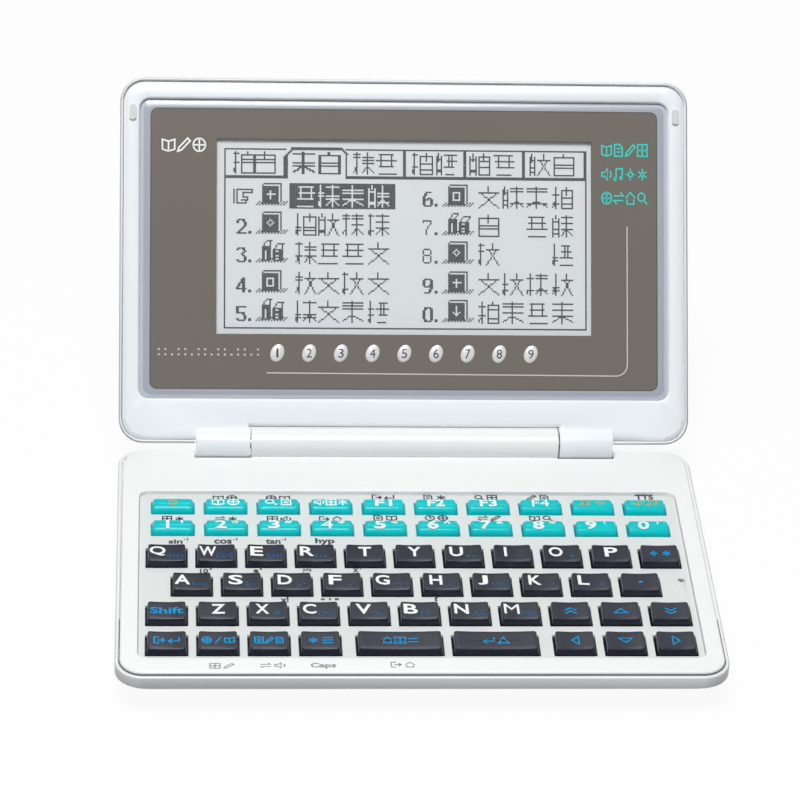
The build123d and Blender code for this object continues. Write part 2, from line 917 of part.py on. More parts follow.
def all_parts():
    parts = {
        "base_lower_case": lower_case(),
        "base_upper_case": upper_case(),
        "keypad_plate": keypad_plate(),
        "key_mat": key_mat(),
        "main_board": main_board(),
        "board_chips": board_chips(),
        "battery_door": battery_door(),
        "coin_cells": coin_cells(),
        "cell_contacts": cell_contacts(),
        "rubber_feet": rubber_feet(),
        "speaker": speaker(),
        "reset_button": reset_button(),
        "hinge_clutches": hinge_clutches(),
        "lid_back_cover": lid_back_cover(),
        "lid_front_frame": lid_front_frame(),
        "screen_lens": screen_lens(),
        "lcd_panel": lcd_panel(),
        "backlight_guide": backlight_guide(),
        "lcd_board": lcd_board(),
        "display_flex": display_flex(),
        "lid_bumpers": lid_bumpers(),
        "hinge_pins": hinge_pins(),
    }
    parts.update(make_keys())
    return parts


os.makedirs("parts", exist_ok=True)
for node, shape in all_parts().items():
    if isinstance(shape, list):
        shape = shape[0] if len(shape) == 1 else Compound(children=shape)
    export_step(shape, f"parts/{node}.step")
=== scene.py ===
import json
import random
from math import cos, pi, radians, sin, sqrt, tan

import bmesh
import bpy
from mathutils import Matrix, Vector


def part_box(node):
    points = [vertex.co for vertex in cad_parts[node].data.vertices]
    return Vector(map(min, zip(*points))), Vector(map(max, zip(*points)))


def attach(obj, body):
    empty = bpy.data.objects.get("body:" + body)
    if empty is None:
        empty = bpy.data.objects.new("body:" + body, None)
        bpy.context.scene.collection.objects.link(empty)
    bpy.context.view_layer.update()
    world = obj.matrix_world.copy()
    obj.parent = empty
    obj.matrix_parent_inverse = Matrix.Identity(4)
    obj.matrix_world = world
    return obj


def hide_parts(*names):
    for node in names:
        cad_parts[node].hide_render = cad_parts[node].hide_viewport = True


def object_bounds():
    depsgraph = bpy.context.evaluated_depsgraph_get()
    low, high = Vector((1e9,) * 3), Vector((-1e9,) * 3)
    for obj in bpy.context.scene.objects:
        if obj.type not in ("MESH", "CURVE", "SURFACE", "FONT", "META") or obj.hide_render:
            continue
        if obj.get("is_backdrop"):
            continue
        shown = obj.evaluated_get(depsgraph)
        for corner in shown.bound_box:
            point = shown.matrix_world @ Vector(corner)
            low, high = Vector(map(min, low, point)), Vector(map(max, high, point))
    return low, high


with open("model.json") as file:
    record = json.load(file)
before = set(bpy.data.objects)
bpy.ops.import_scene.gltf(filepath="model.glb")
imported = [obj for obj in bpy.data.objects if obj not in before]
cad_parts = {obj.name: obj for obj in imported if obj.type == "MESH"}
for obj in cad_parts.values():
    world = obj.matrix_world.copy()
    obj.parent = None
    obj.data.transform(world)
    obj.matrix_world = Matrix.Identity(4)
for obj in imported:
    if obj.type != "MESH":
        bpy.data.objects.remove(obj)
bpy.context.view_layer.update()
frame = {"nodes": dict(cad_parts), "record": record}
nodes = frame["nodes"]
mm = 0.001
print("frame loaded:", len(nodes), "nodes")


def linear(hexColour):
    channels = [int(hexColour[i:i + 2], 16) / 255 for i in (0, 2, 4)]
    return [c / 12.92 if c <= 0.04045 else ((c + 0.055) / 1.055) ** 2.4 for c in channels] + [1.0]


def add(tree, kind, values=None, links=None, **settings):
    node = tree.nodes.new(kind)
    for name, value in settings.items():
        setattr(node, name, value)
    for socket, value in (values or {}).items():
        node.inputs[socket].default_value = value
    for socket, source in (links or {}).items():
        tree.links.new(source, node.inputs[socket])
    return node


def newMaterial(name, colour, roughness, **shaderValues):
    material = bpy.data.materials.new(name)
    material.use_nodes = True
    tree = material.node_tree
    shader = tree.nodes["Principled BSDF"]
    shader.inputs["Base Color"].default_value = linear(colour)
    shader.inputs["Roughness"].default_value = roughness
    for socket, value in shaderValues.items():
        shader.inputs[socket.replace("_", " ")].default_value = value
    material.diffuse_color = linear(colour)
    return material, tree, shader


# shared by all moulded and printed surfaces: where the colour drift starts and ends, the strength
# of the grain's bump, and the size in millimetres of the patches that hands wipe smoother
surfaceDetail = {"driftFrom": 0.3, "driftTo": 0.7, "bumpStrength": 0.5, "wipedMm": 15}


# drift: share by which the colour wanders over driftMm; grainMm and grainDepth: the mould's bump
def mouldedSurface(
    name, colour, roughness, drift=0.01, driftMm=30, grainMm=0.5, grainDepth=0.004, wear=0.03,
    **shaderValues,
):
    material, tree, shader = newMaterial(name, colour, roughness, **shaderValues)
    place = add(tree, "ShaderNodeTexCoord").outputs["Object"]
    broad = add(tree, "ShaderNodeTexNoise", {"Scale": 1 / (driftMm * mm), "Detail": 1.0}, {"Vector": place})
    base = linear(colour)
    ramp = add(tree, "ShaderNodeValToRGB", links={"Fac": broad.outputs["Fac"]})
    steps = ((surfaceDetail["driftFrom"], 1 - drift), (surfaceDetail["driftTo"], 1 + drift))
    for element, (position, share) in zip(ramp.color_ramp.elements, steps):
        element.position = position
        element.color = [min(1, c * share) for c in base[:3]] + [1]
    tree.links.new(ramp.outputs["Color"], shader.inputs["Base Color"])
    fine = add(tree, "ShaderNodeTexNoise", {"Scale": 1 / (grainMm * mm), "Detail": 1.0}, {"Vector": place})
    strength = surfaceDetail["bumpStrength"]
    bump = add(
        tree, "ShaderNodeBump", {"Strength": strength, "Distance": grainDepth * mm},
        {"Height": fine.outputs["Fac"]},
    )
    tree.links.new(bump.outputs["Normal"], shader.inputs["Normal"])
    wiped = add(
        tree, "ShaderNodeTexNoise", {"Scale": 1 / (surfaceDetail["wipedMm"] * mm), "Detail": 1.0},
        {"Vector": place},
    )
    limits = {"To Min": roughness - wear, "To Max": roughness + wear}
    spread = add(tree, "ShaderNodeMapRange", limits, {"Value": wiped.outputs["Fac"]})
    tree.links.new(spread.outputs["Result"], shader.inputs["Roughness"])
    return material


def newObject(name, data):
    made = bpy.data.objects.new(name, data)
    bpy.context.scene.collection.objects.link(made)
    return made


def finishPiece(name, shape, materials, body, replaced=(), smoothAngle=35):
    if isinstance(shape, bmesh.types.BMesh):
        mesh = bpy.data.meshes.new(name)
        shape.to_mesh(mesh)
        shape.free()
    else:
        mesh = shape
    for material in materials:
        mesh.materials.append(material)
    if smoothAngle:
        mesh.shade_smooth()
        mesh.set_sharp_from_angle(angle=radians(smoothAngle))
    piece = newObject(name, mesh)
    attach(piece, body)
    if replaced:
        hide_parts(*replaced)


def evaluatedCopy(holder):
    # the holder's mesh with its modifiers worked in; the holder itself goes
    bpy.context.view_layer.update()
    mesh = bpy.data.meshes.new_from_object(holder.evaluated_get(bpy.context.evaluated_depsgraph_get()))
    holder.modifiers.clear()
    bpy.data.objects.remove(holder)
    return mesh


def roundedRing(width, depth, corner, arc=4, sideX=8, sideY=4):
    # points anticlockwise round a rounded rectangle; every ring with the same counts can be joined
    corner = max(corner, 0.01)
    halfX = width / 2 - corner
    halfY = depth / 2 - corner
    corners = []
    for quarter, (signX, signY) in enumerate(((1, 1), (-1, 1), (-1, -1), (1, -1))):
        turns = [pi / 2 * (quarter + step / arc) for step in range(arc + 1)]
        corners.append([(signX * halfX + corner * cos(a), signY * halfY + corner * sin(a)) for a in turns])
    points = []
    for quarter, count in enumerate((sideX, sideY, sideX, sideY)):
        points += corners[quarter]
        ax, ay = corners[quarter][-1]
        bx, by = corners[(quarter + 1) % 4][0]
        for step in range(1, count):
            t = step / count
            points.append((ax + (bx - ax) * t, ay + (by - ay) * t))
    return points


def joinRings(shape, rings, paint=None):
    # rings of millimetre points, listed so that faces point outwards; paint gives each band's material
    paint = paint or [0] * (len(rings) - 1)
    rows = [[shape.verts.new(Vector(p) * mm) for p in ring] for ring in rings]
    for low, high, material in zip(rows, rows[1:], paint):
        for i in range(len(low)):
            j = (i + 1) % len(low)
            shape.faces.new((low[i], low[j], high[j], high[i])).material_index = material
    shape.faces.new(rows[0][::-1]).material_index = paint[0]
    shape.faces.new(rows[-1]).material_index = paint[-1]


def mergedCopy(node):
    shape = bmesh.new()
    shape.from_mesh(nodes[node].data)
    bmesh.ops.remove_doubles(shape, verts=shape.verts, dist=0.002 * mm)
    return shape


def looseBoxes(node):
    # lowest and highest corner, in millimetres, of each separate solid of a node
    shape = mergedCopy(node)
    left = set(shape.verts)
    boxes = []
    while left:
        group = [left.pop()]
        for vert in group:
            for edge in vert.link_edges:
                other = edge.other_vert(vert)
                if other in left:
                    left.remove(other)
                    group.append(other)
        xs, ys, zs = zip(*[v.co / mm for v in group])
        boxes.append((Vector((min(xs), min(ys), min(zs))), Vector((max(xs), max(ys), max(zs)))))
    shape.free()
    return sorted(boxes, key=lambda b: (-round(b[0].y), b[0].x))


# the opened lid's own plane: x along the hinge, v up the lid, n out of its inner face
lidPlace = {"axisY": 41.2, "axisZ": 11.8, "angle": 53.13}
lidTurn = Matrix.Translation(
    (0, lidPlace["axisY"] * mm, lidPlace["axisZ"] * mm)
) @ Matrix.Rotation(radians(lidPlace["angle"]), 4, "X")

# camera, light and floor
viewFrom = {
    "place": (-0.056400, -0.644232, 0.482213), "turns": (-0.079885, 0.982643, 0.048999),
    "lens": 164.468, "sensor": 36, "near": 0.05,
}
camera = newObject("camera", bpy.data.cameras.new("camera"))
camera.data.sensor_width = viewFrom["sensor"]
camera.data.lens = viewFrom["lens"]
camera.data.clip_start = viewFrom["near"]
heading, tilt, roll = viewFrom["turns"]
camera.matrix_world = (
    Matrix.Translation(viewFrom["place"])
    @ Matrix.Rotation(heading, 4, "Z") @ Matrix.Rotation(tilt, 4, "X") @ Matrix.Rotation(roll, 4, "Z")
)
bpy.context.scene.camera = camera
bpy.context.scene.view_settings.view_transform = "Standard"

studio = {
    "keyFrom": (-0.1, -0.26, 0.96), "keyAway": 1.3, "keySize": 0.6, "keyWatts": 14.8,
    "rearFrom": (0.02, 0.66, 0.75), "rearSize": 0.3, "rearWatts": 0.9,
    "ambient": 0.15, "paperGlow": 0.85, "glowLevel": 1.1,
}
paper = {"left": -4, "right": 4, "near": -3, "far": 5, "roughness": 0.9}


def softLamp(name, direction, away, size, watts):
    lamp = newObject(name, bpy.data.lights.new(name, "AREA"))
    lamp.data.shape = "DISK"
    lamp.data.size = size
    lamp.data.energy = watts
    towards = Vector(direction).normalized()
    lamp.location = towards * away
    lamp.rotation_euler = towards.to_track_quat("Z", "Y").to_euler()


def backdropShare(tree):
    # 1 for a ray that shows the backdrop: straight to the camera, in a reflection or through glass
    rays = add(tree, "ShaderNodeLightPath").outputs
    direct = {0: rays["Is Camera Ray"], 1: rays["Is Glossy Ray"]}
    mirrored = add(tree, "ShaderNodeMath", links=direct, operation="MAXIMUM")
    through = {0: mirrored.outputs[0], 1: rays["Is Transmission Ray"]}
    return add(tree, "ShaderNodeMath", links=through, operation="MAXIMUM").outputs[0]


softLamp("keyLamp", studio["keyFrom"], studio["keyAway"], studio["keySize"], studio["keyWatts"])
softLamp("rearLamp", studio["rearFrom"], studio["keyAway"], studio["rearSize"], studio["rearWatts"])

world = bpy.data.worlds.new("studio")
bpy.context.scene.world = world
world.use_nodes = True
tree = world.node_tree
limits = {"To Min": studio["ambient"], "To Max": 1.0}
level = add(tree, "ShaderNodeMapRange", limits, {"Value": backdropShare(tree)})
tree.nodes["Background"].inputs["Color"].default_value = (1, 1, 1, 1)
tree.links.new(level.outputs["Result"], tree.nodes["Background"].inputs["Strength"])

# matt white paper sweep: even and pale, so that it keeps the soft shadow under the case
floorMaterial, tree, shader = newMaterial("paperFloor", "9C9C9C", paper["roughness"])
share = add(
    tree, "ShaderNodeMath", {1: studio["paperGlow"]}, {0: backdropShare(tree)}, operation="MULTIPLY",
)
glow = add(tree, "ShaderNodeEmission", {"Color": (1, 1, 1, 1), "Strength": studio["glowLevel"]})
blend = add(
    tree, "ShaderNodeMixShader", links={0: share.outputs[0], 1: shader.outputs[0], 2: glow.outputs[0]},
)
tree.links.new(blend.outputs[0], tree.nodes["Material Output"].inputs["Surface"])
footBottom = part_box("rubber_feet")[0].z
left, right, near, far = paper["left"], paper["right"], paper["near"], paper["far"]
corners = [(x, y, footBottom) for x, y in ((left, near), (right, near), (right, far), (left, far))]
floorMesh = bpy.data.meshes.new("floor")
floorMesh.from_pydata(corners, [], [(0, 1, 2, 3)])
floorMesh.materials.append(floorMaterial)
newObject("floor", floorMesh)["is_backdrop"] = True
print("camera, light and floor set")
# gloss-painted ABS: an almost white skin with a faint orange peel
whiteAbs = mouldedSurface("whitePaintedAbs", "F1F2F2", 0.3, 0.004, 40, 0.9, 0.002)
# the same paint a shade greyer, with a finer grain that spreads its highlights
shellAbs = mouldedSurface("silverWhitePaintedAbs", "EDEEEF", 0.38, 0.006, 40, 0.35, 0.004)
# painted ABS with a cool tint, smooth and even
paleBlueAbs = mouldedSurface("paleBluePaintedAbs", "F1F6FA", 0.32, 0.004, 50, 0.9, 0.002)
# satin painted plate between the keys
panelPaint = mouldedSurface("panelSatinPaint", "DCE0DF", 0.42, 0.008, 30, 0.25, 0.004)
# moulded ABS keys: navy and turquoise, glossy, with finger wear that changes the gloss
navyAbs = mouldedSurface(
    "navyGlossAbs", "131A2A", 0.24, 0.05, 12, 0.4, 0.003, wear=0.05, Specular_IOR_Level=0.35,
)
turquoiseAbs = mouldedSurface(
    "turquoiseGlossAbs", "00C8CC", 0.16, 0.03, 12, 0.5, 0.001, wear=0.02, Specular_IOR_Level=0.15,
)
# silicone rubber: soft and matt, with dust that lightens it in patches
blackRubber = mouldedSurface("blackSiliconeRubber", "2A2B2C", 0.75, 0.08, 10, 0.3, 0.02)
greyRubber = mouldedSurface("greyGreenSiliconeRubber", "D2DAD7", 0.5, 0.03, 5, 0.3, 0.01)
# glass-fibre laminate under green resist: satin, with the weave just visible in its colour
greenLaminate = mouldedSurface("greenBoardLaminate", "1F5A3A", 0.4, 0.1, 4, 0.2, 0.01)
# moulded epoxy: matt and nearly black
blackResin = mouldedSurface("blackEpoxyResin", "1C1C1E", 0.55, 0.05, 5, 0.2, 0.01)
# steel strip and cans, bright from rolling, and steel under a matt black coat
rolledSteel = mouldedSurface("rolledSteel", "C4C6C8", 0.3, 0.04, 3, 0.15, 0.004, Metallic=1.0)
# the black coat also serves the hinge clutch, whose steel shows in the gap between knuckle and barrel; there
# it is painted shade that keeps the gap dark
blackSteelAndGapShade = mouldedSurface("blackPaintedSteel", "26282C", 0.5, 0.05, 4, 0.2, 0.01, Metallic=0.8)
# amber polyimide film: thin and glossy
polyimideFilm = mouldedSurface("polyimideFilm", "B2641E", 0.3, 0.06, 6, 0.5, 0.004)
# acrylic that scatters light: milky and smooth
milkyAcrylic = mouldedSurface("milkyAcrylic", "E6EAEA", 0.2, 0.02, 20, 1.0, 0.003)

slotFinish = {
    "case_plastic": shellAbs, "deck_plastic": whiteAbs, "panel_plastic": panelPaint,
    "mat_rubber": blackRubber,
    "board_laminate": greenLaminate, "chip_resin": blackResin, "cell_steel": rolledSteel,
    "contact_steel": rolledSteel,
    # the clutch takes the black coat as painted shade in the hinge gap
    "foot_rubber": blackRubber, "speaker_frame": blackSteelAndGapShade, "clutch_steel": blackSteelAndGapShade,
    "pin_steel": rolledSteel,
    "lid_cover_plastic": shellAbs, "lid_face_plastic": paleBlueAbs, "lens_acrylic": milkyAcrylic,
    "lcd_glass": milkyAcrylic,
    "guide_acrylic": milkyAcrylic, "flex_film": polyimideFilm, "bumper_rubber": greyRubber,
    "letter_key_plastic": navyAbs, "small_key_plastic": turquoiseAbs,
}
slotOf = {part["node"]: part["material_slot"] for part in frame["record"]["subparts"]}
for name, slot in slotOf.items():
    nodes[name].data.materials.clear()
    nodes[name].data.materials.append(slotFinish[slot])
print("materials made")


# the plate stops short of the deck at the rear, which leaves a dark joint; it is drawn in from this y on
plateJoint = {"gap": 0.6, "from": 22.0, "rear": 24.8}
edgeRounding = {"leastAngle": 25, "samePlane": 0.5, "faceShare": 0.35, "sharpAngle": 50, "segments": 2}


def drawInRear(shape):
    reach = plateJoint["rear"] - plateJoint["from"]
    for vert in shape.verts:
        share = (vert.co.y / mm - plateJoint["from"]) / reach
        vert.co.y -= plateJoint["gap"] * mm * max(0, min(1, share))


def flatAreas(shape):
    # the area of the flat patch that each face belongs to
    areas = {}
    for face in shape.faces:
        if face in areas:
            continue
        patch, known = [face], {face}
        for near in patch:
            for edge in near.edges:
                for other in edge.link_faces:
                    if other not in known and other.normal.angle(face.normal, 0) < radians(
                        edgeRounding["samePlane"]
                    ):
                        known.add(other)
                        patch.append(other)
        areas.update(dict.fromkeys(patch, sum(part.calc_area() for part in patch)))
    return areas


# housings: the same shapes with edges rounded over by up to the given radius, or less where a face is narrow
def softenEdges(node, body, radius, rounded=True, reshape=None):
    shape = mergedCopy(node)
    if reshape:
        reshape(shape)
    weight = shape.edges.layers.float.new("bevel_weight_edge")
    areas = flatAreas(shape)
    for edge in shape.edges:
        if edge.calc_face_angle(0) > radians(edgeRounding["leastAngle"]):
            room = min(areas[face] for face in edge.link_faces) / max(edge.calc_length(), 1e-6)
            edge[weight] = min(1, edgeRounding["faceShare"] * room / (radius * mm))
    mesh = bpy.data.meshes.new(node + "Shape")
    shape.to_mesh(mesh)
    shape.free()
    mesh.shade_smooth()
    mesh.set_sharp_from_angle(angle=radians(edgeRounding["sharpAngle"]))
    holder = newObject(node + "Shape", mesh)
    if rounded:
        rounding = holder.modifiers.new("rounding", "BEVEL")
        rounding.width = radius * mm
        rounding.segments = edgeRounding["segments"]
        rounding.limit_method = "WEIGHT"
        rounding.use_clamp_overlap = False
    shading = holder.modifiers.new("shading", "WEIGHTED_NORMAL")
    shading.mode = "FACE_AREA"
    shading.weight = 100
    shading.keep_sharp = True
    softened = evaluatedCopy(holder)
    softened.materials.clear()
    slot = slotOf[node]
    finishPiece(node.replace("_", "") + "Soft", softened, [slotFinish[slot]], body, [node], None)


softEdges = {
    "base_upper_case": ("base", 0.25), "base_lower_case": ("base", 0.3, False),
    "keypad_plate": ("base", 0.1, True, drawInRear),
    "lid_front_frame": ("lid", 0.3, False), "lid_back_cover": ("lid", 0.4, False),
    "battery_door": ("battery_door", 0.15),
}
for name, settings in softEdges.items():
    softenEdges(name, *settings)
print("housings softened")


# keys: tapered caps with soft edges; letter keys are dished from left to right, small keys are pillow-shaped
letterCap = {
    "flange": 0.5, "flangeThick": 0.6, "taper": 9.0, "corner": 0.6, "round": 0.3, "lean": 0.0, "side": 1.0,
    "dishRadius": 40.0, "dishDepth": 0.2, "dishWidth": 8.5,
}
smallCap = {
    "flange": 0.5, "flangeThick": 0.6, "taper": 7.0, "corner": 0.6, "round": 1.05, "lean": 0.65,
    "side": 0.5,
    "crownRadius": 8.0,
}
capRings = {
    "sideX": 8, "sideY": 8, "bendSteps": 5, "topShares": (0.25, 0.5, 0.75, 0.93), "topCorner": 0.3,
    "narrowing": 0.3,
}
plateTop = 9.4
deckTop = 10.0


def keyTop(box, small):
    # returns the key's centre, its size where it leaves the plate, and its top as a function of x and y
    low, high = box
    size = smallCap if small else letterCap
    x, y = (low.x + high.x) / 2, (low.y + high.y) / 2
    width = high.x - low.x - 2 * size["flange"]
    depth = high.y - low.y - 2 * size["flange"]
    if small:
        radius = size["crownRadius"]
        return x, y, width, depth, lambda px, py: high.z - radius + sqrt(
            max(radius ** 2 - (py - y) ** 2, 0)
        )
    radius = size["dishRadius"] * (width / size["dishWidth"]) ** 2
    floor = high.z - size["dishDepth"]

    def dish(px, py):
        return min(floor + radius - sqrt(radius ** 2 - min(abs(px - x), width / 2) ** 2), high.z)

    return x, y, width, depth, dish


def addCap(shape, box, small):
    size = smallCap if small else letterCap
    x, y, width, depth, top = keyTop(box, small)
    slope = tan(radians(size["taper"]))
    flangeLow = box[0].z
    flangeHigh = flangeLow + size["flangeThick"]
    counts = {"sideX": max(capRings["sideX"], int(width)), "sideY": capRings["sideY"]}

    def ringAt(inset, level, corner, back=0.0, side=None):
        flat = roundedRing(
            width - 2 * (inset if side is None else side), depth - 2 * inset, corner, **counts,
        )
        return [(x + px, y + py + back, level(x + px, y + py + back)) for px, py in flat]

    rings = [
        ringAt(-size["flange"], lambda px, py: flangeLow, capRings["topCorner"]),
        ringAt(-size["flange"], lambda px, py: flangeHigh, capRings["topCorner"]),
        ringAt(-(plateTop - flangeHigh) * slope, lambda px, py: flangeHigh, size["corner"]),
    ]
    bend = size["round"]
    drawnIn = (box[1].z - plateTop - bend) * slope
    for step in range(capRings["bendSteps"] + 1):
        turn = pi / 2 * step / capRings["bendSteps"]
        inset = drawnIn + bend * (1 - cos(turn))
        drop = bend * (1 - sin(turn))
        # the top lies a little to the rear, which leaves a fuller curve at the front edge
        back = size["lean"] * (1 - cos(turn))
        side = drawnIn + bend * size["side"] * (1 - cos(turn))
        corner = size["corner"] - side * capRings["narrowing"]
        rings.append(ringAt(inset, lambda px, py: top(px, py) - drop, corner, back, side))
    edge = drawnIn + bend
    for share in capRings["topShares"]:
        inset = edge + (depth / 2 - edge) * share
        rings.append(ringAt(inset, top, capRings["topCorner"] * (1 - share), back, side + inset - edge))
    joinRings(shape, rings)


smallNodes = ("key_power", "function_keys", "digit_keys")
keyNodes = [name for name in nodes if name.startswith("key_") and name != "key_mat"]
keyNodes += ["arrow_keys", "page_keys", "command_keys", "function_keys", "digit_keys"]
keyBoxes = {name: looseBoxes(name) for name in keyNodes}
for name in keyNodes:
    caps = bmesh.new()
    small = name in smallNodes
    for box in keyBoxes[name]:
        addCap(caps, box, small)
    plastic, slot = (turquoiseAbs, "small_key_plastic") if small else (navyAbs, "letter_key_plastic")
    finishPiece(name.replace("_", "") + "Cap", caps, [plastic], name, [name], 50)
print("key caps made:", sum(len(b) for b in keyBoxes.values()))


# printed legends: thin solids of ink that follow the surface they lie on; on a flat one they stay uncut
inkLayer = {"lift": 0.03, "sink": 0.05, "cell": 0.6, "uncut": 200}
whiteInk = mouldedSurface("whitePadPrintInk", "F4F6F6", 0.35, 0.01, 4, 0.3, 0.002)
blueInk = mouldedSurface("bluePadPrintInk", "0098D6", 0.35, 0.03, 4, 0.3, 0.002, Specular_IOR_Level=0.1)
deepBlueInk = mouldedSurface(
    "deepBluePadPrintInk", "1A5480", 0.35, 0.03, 4, 0.3, 0.002, Specular_IOR_Level=0.2,
)
orangeInk = mouldedSurface("orangePadPrintInk", "C09A3A", 0.35, 0.03, 4, 0.3, 0.002)
blackInk = mouldedSurface("blackScreenPrintInk", "20222A", 0.4, 0.03, 4, 0.3, 0.002)
greyInk = mouldedSurface("greyScreenPrintInk", "8C9092", 0.4, 0.03, 4, 0.3, 0.002)
inks = {
    "white": whiteInk, "blue": blueInk, "deepBlue": deepBlueInk, "orange": orangeInk, "black": blackInk,
    "grey": greyInk,
}
inkOrder = list(inks)


def lettering(text, left, right, bottom, top, bold=0.0):
    # widening closes up the narrow corners of M and 4, so text with them keeps its own weight
    curve = bpy.data.curves.new("lettering", "FONT")
    curve.body = text
    curve.resolution_u = 3
    curve.offset = 0.0 if set(text) & set("M4") else bold
    holder = newObject("lettering", curve)
    bpy.context.view_layer.update()
    mesh = bpy.data.meshes.new_from_object(holder)
    bpy.data.objects.remove(holder)
    bpy.data.curves.remove(curve)
    flat = bmesh.new()
    flat.from_mesh(mesh)
    bpy.data.meshes.remove(mesh)
    bmesh.ops.remove_doubles(flat, verts=flat.verts, dist=1e-5)
    for axis, low, high in ((0, left, right), (1, bottom, top)):
        values = [v.co[axis] for v in flat.verts]
        scale = (high - low) / max(max(values) - min(values), 1e-6)
        for v in flat.verts:
            v.co[axis] = low + (v.co[axis] - min(values)) * scale
    return flat


def strokes(paths, thick):
    # bands of even width along polylines drawn in a unit square; a path whose ends meet is closed
    flat = bmesh.new()
    for path in paths:
        points = [Vector(p) for p in path]
        closed = (points[0] - points[-1]).length < 1e-6
        if closed:
            points = points[:-1]
        count = len(points)
        sides = []
        for i, point in enumerate(points):
            before = points[i - 1] if closed or i > 0 else None
            after = points[(i + 1) % count] if closed or i < count - 1 else None
            ways = [
                w.normalized()
                for w in ((point - before) if before else None, (after - point) if after else None)
                if w
            ]
            normals = [Vector((-w.y, w.x)) for w in ways]
            mitre = normals[0]
            if len(normals) == 2:
                mitre = (normals[0] + normals[1]) / max(1 + normals[0].dot(normals[1]), 0.4)
            reach = thick / 2
            sides.append(
                (
                    flat.verts.new((*(point + mitre * reach), 0)),
                    flat.verts.new((*(point - mitre * reach), 0)),
                )
            )
        last = count if closed else count - 1
        for i in range(last):
            (al, ar), (bl, br) = sides[i], sides[(i + 1) % count]
            flat.faces.new((ar, br, bl, al))
    return flat


def layInk(shape, flat, surface, colour=None, place=None, cell=inkLayer["cell"], lift=inkLayer["lift"]):
    # cuts the flat drawing into cells, bends it onto surface(x, y) and gives it thickness;
    # place turns millimetres into the scene, and without a colour the piece has one ink only
    for axis, across in enumerate((Vector((1, 0, 0)), Vector((0, 1, 0)))):
        values = [v.co[axis] for v in flat.verts]
        cut = min(values) + cell
        while cut < max(values) - cell / 3:
            whole = flat.verts[:] + flat.edges[:] + flat.faces[:]
            bmesh.ops.bisect_plane(flat, geom=whole, plane_co=across * cut, plane_no=across, dist=1e-5)
            cut += cell
    turn = place or Matrix.Identity(4)
    low, high = {}, {}
    for v in flat.verts:
        x, y = v.co.x, v.co.y
        height = surface(x, y)
        low[v] = Vector((x, y, height - inkLayer["sink"]))
        high[v] = Vector((x, y, height + lift))
    low = {v: shape.verts.new(turn @ (p * mm)) for v, p in low.items()}
    high = {v: shape.verts.new(turn @ (p * mm)) for v, p in high.items()}
    material = inkOrder.index(colour) if colour else 0
    for face in flat.faces:
        loop = list(face.verts)
        if face.normal.z < 0:
            loop.reverse()
        faces = [[high[v] for v in loop], [low[v] for v in reversed(loop)]]
        for a, b in zip(loop, loop[1:] + loop[:1]):
            if len(flat.edges.get((a, b)).link_faces) == 1:
                faces.append((low[a], low[b], high[b], high[a]))
        for corners in faces:
            shape.faces.new(corners).material_index = material
    flat.free()


def layFlat(shape, flat, level, colour=None, place=None, lift=inkLayer["lift"]):
    layInk(shape, flat, lambda x, y: level, colour, place, inkLayer["uncut"], lift)


def finishPrint(name, shape, body):
    finishPiece(name, shape, list(inks.values()), body, smoothAngle=30)


def arcPoints(x, y, radius, start=0, end=360, steps=14):
    turns = [radians(start + (end - start) * i / steps) for i in range(steps + 1)]
    return [(x + radius * cos(turn), y + radius * sin(turn)) for turn in turns]


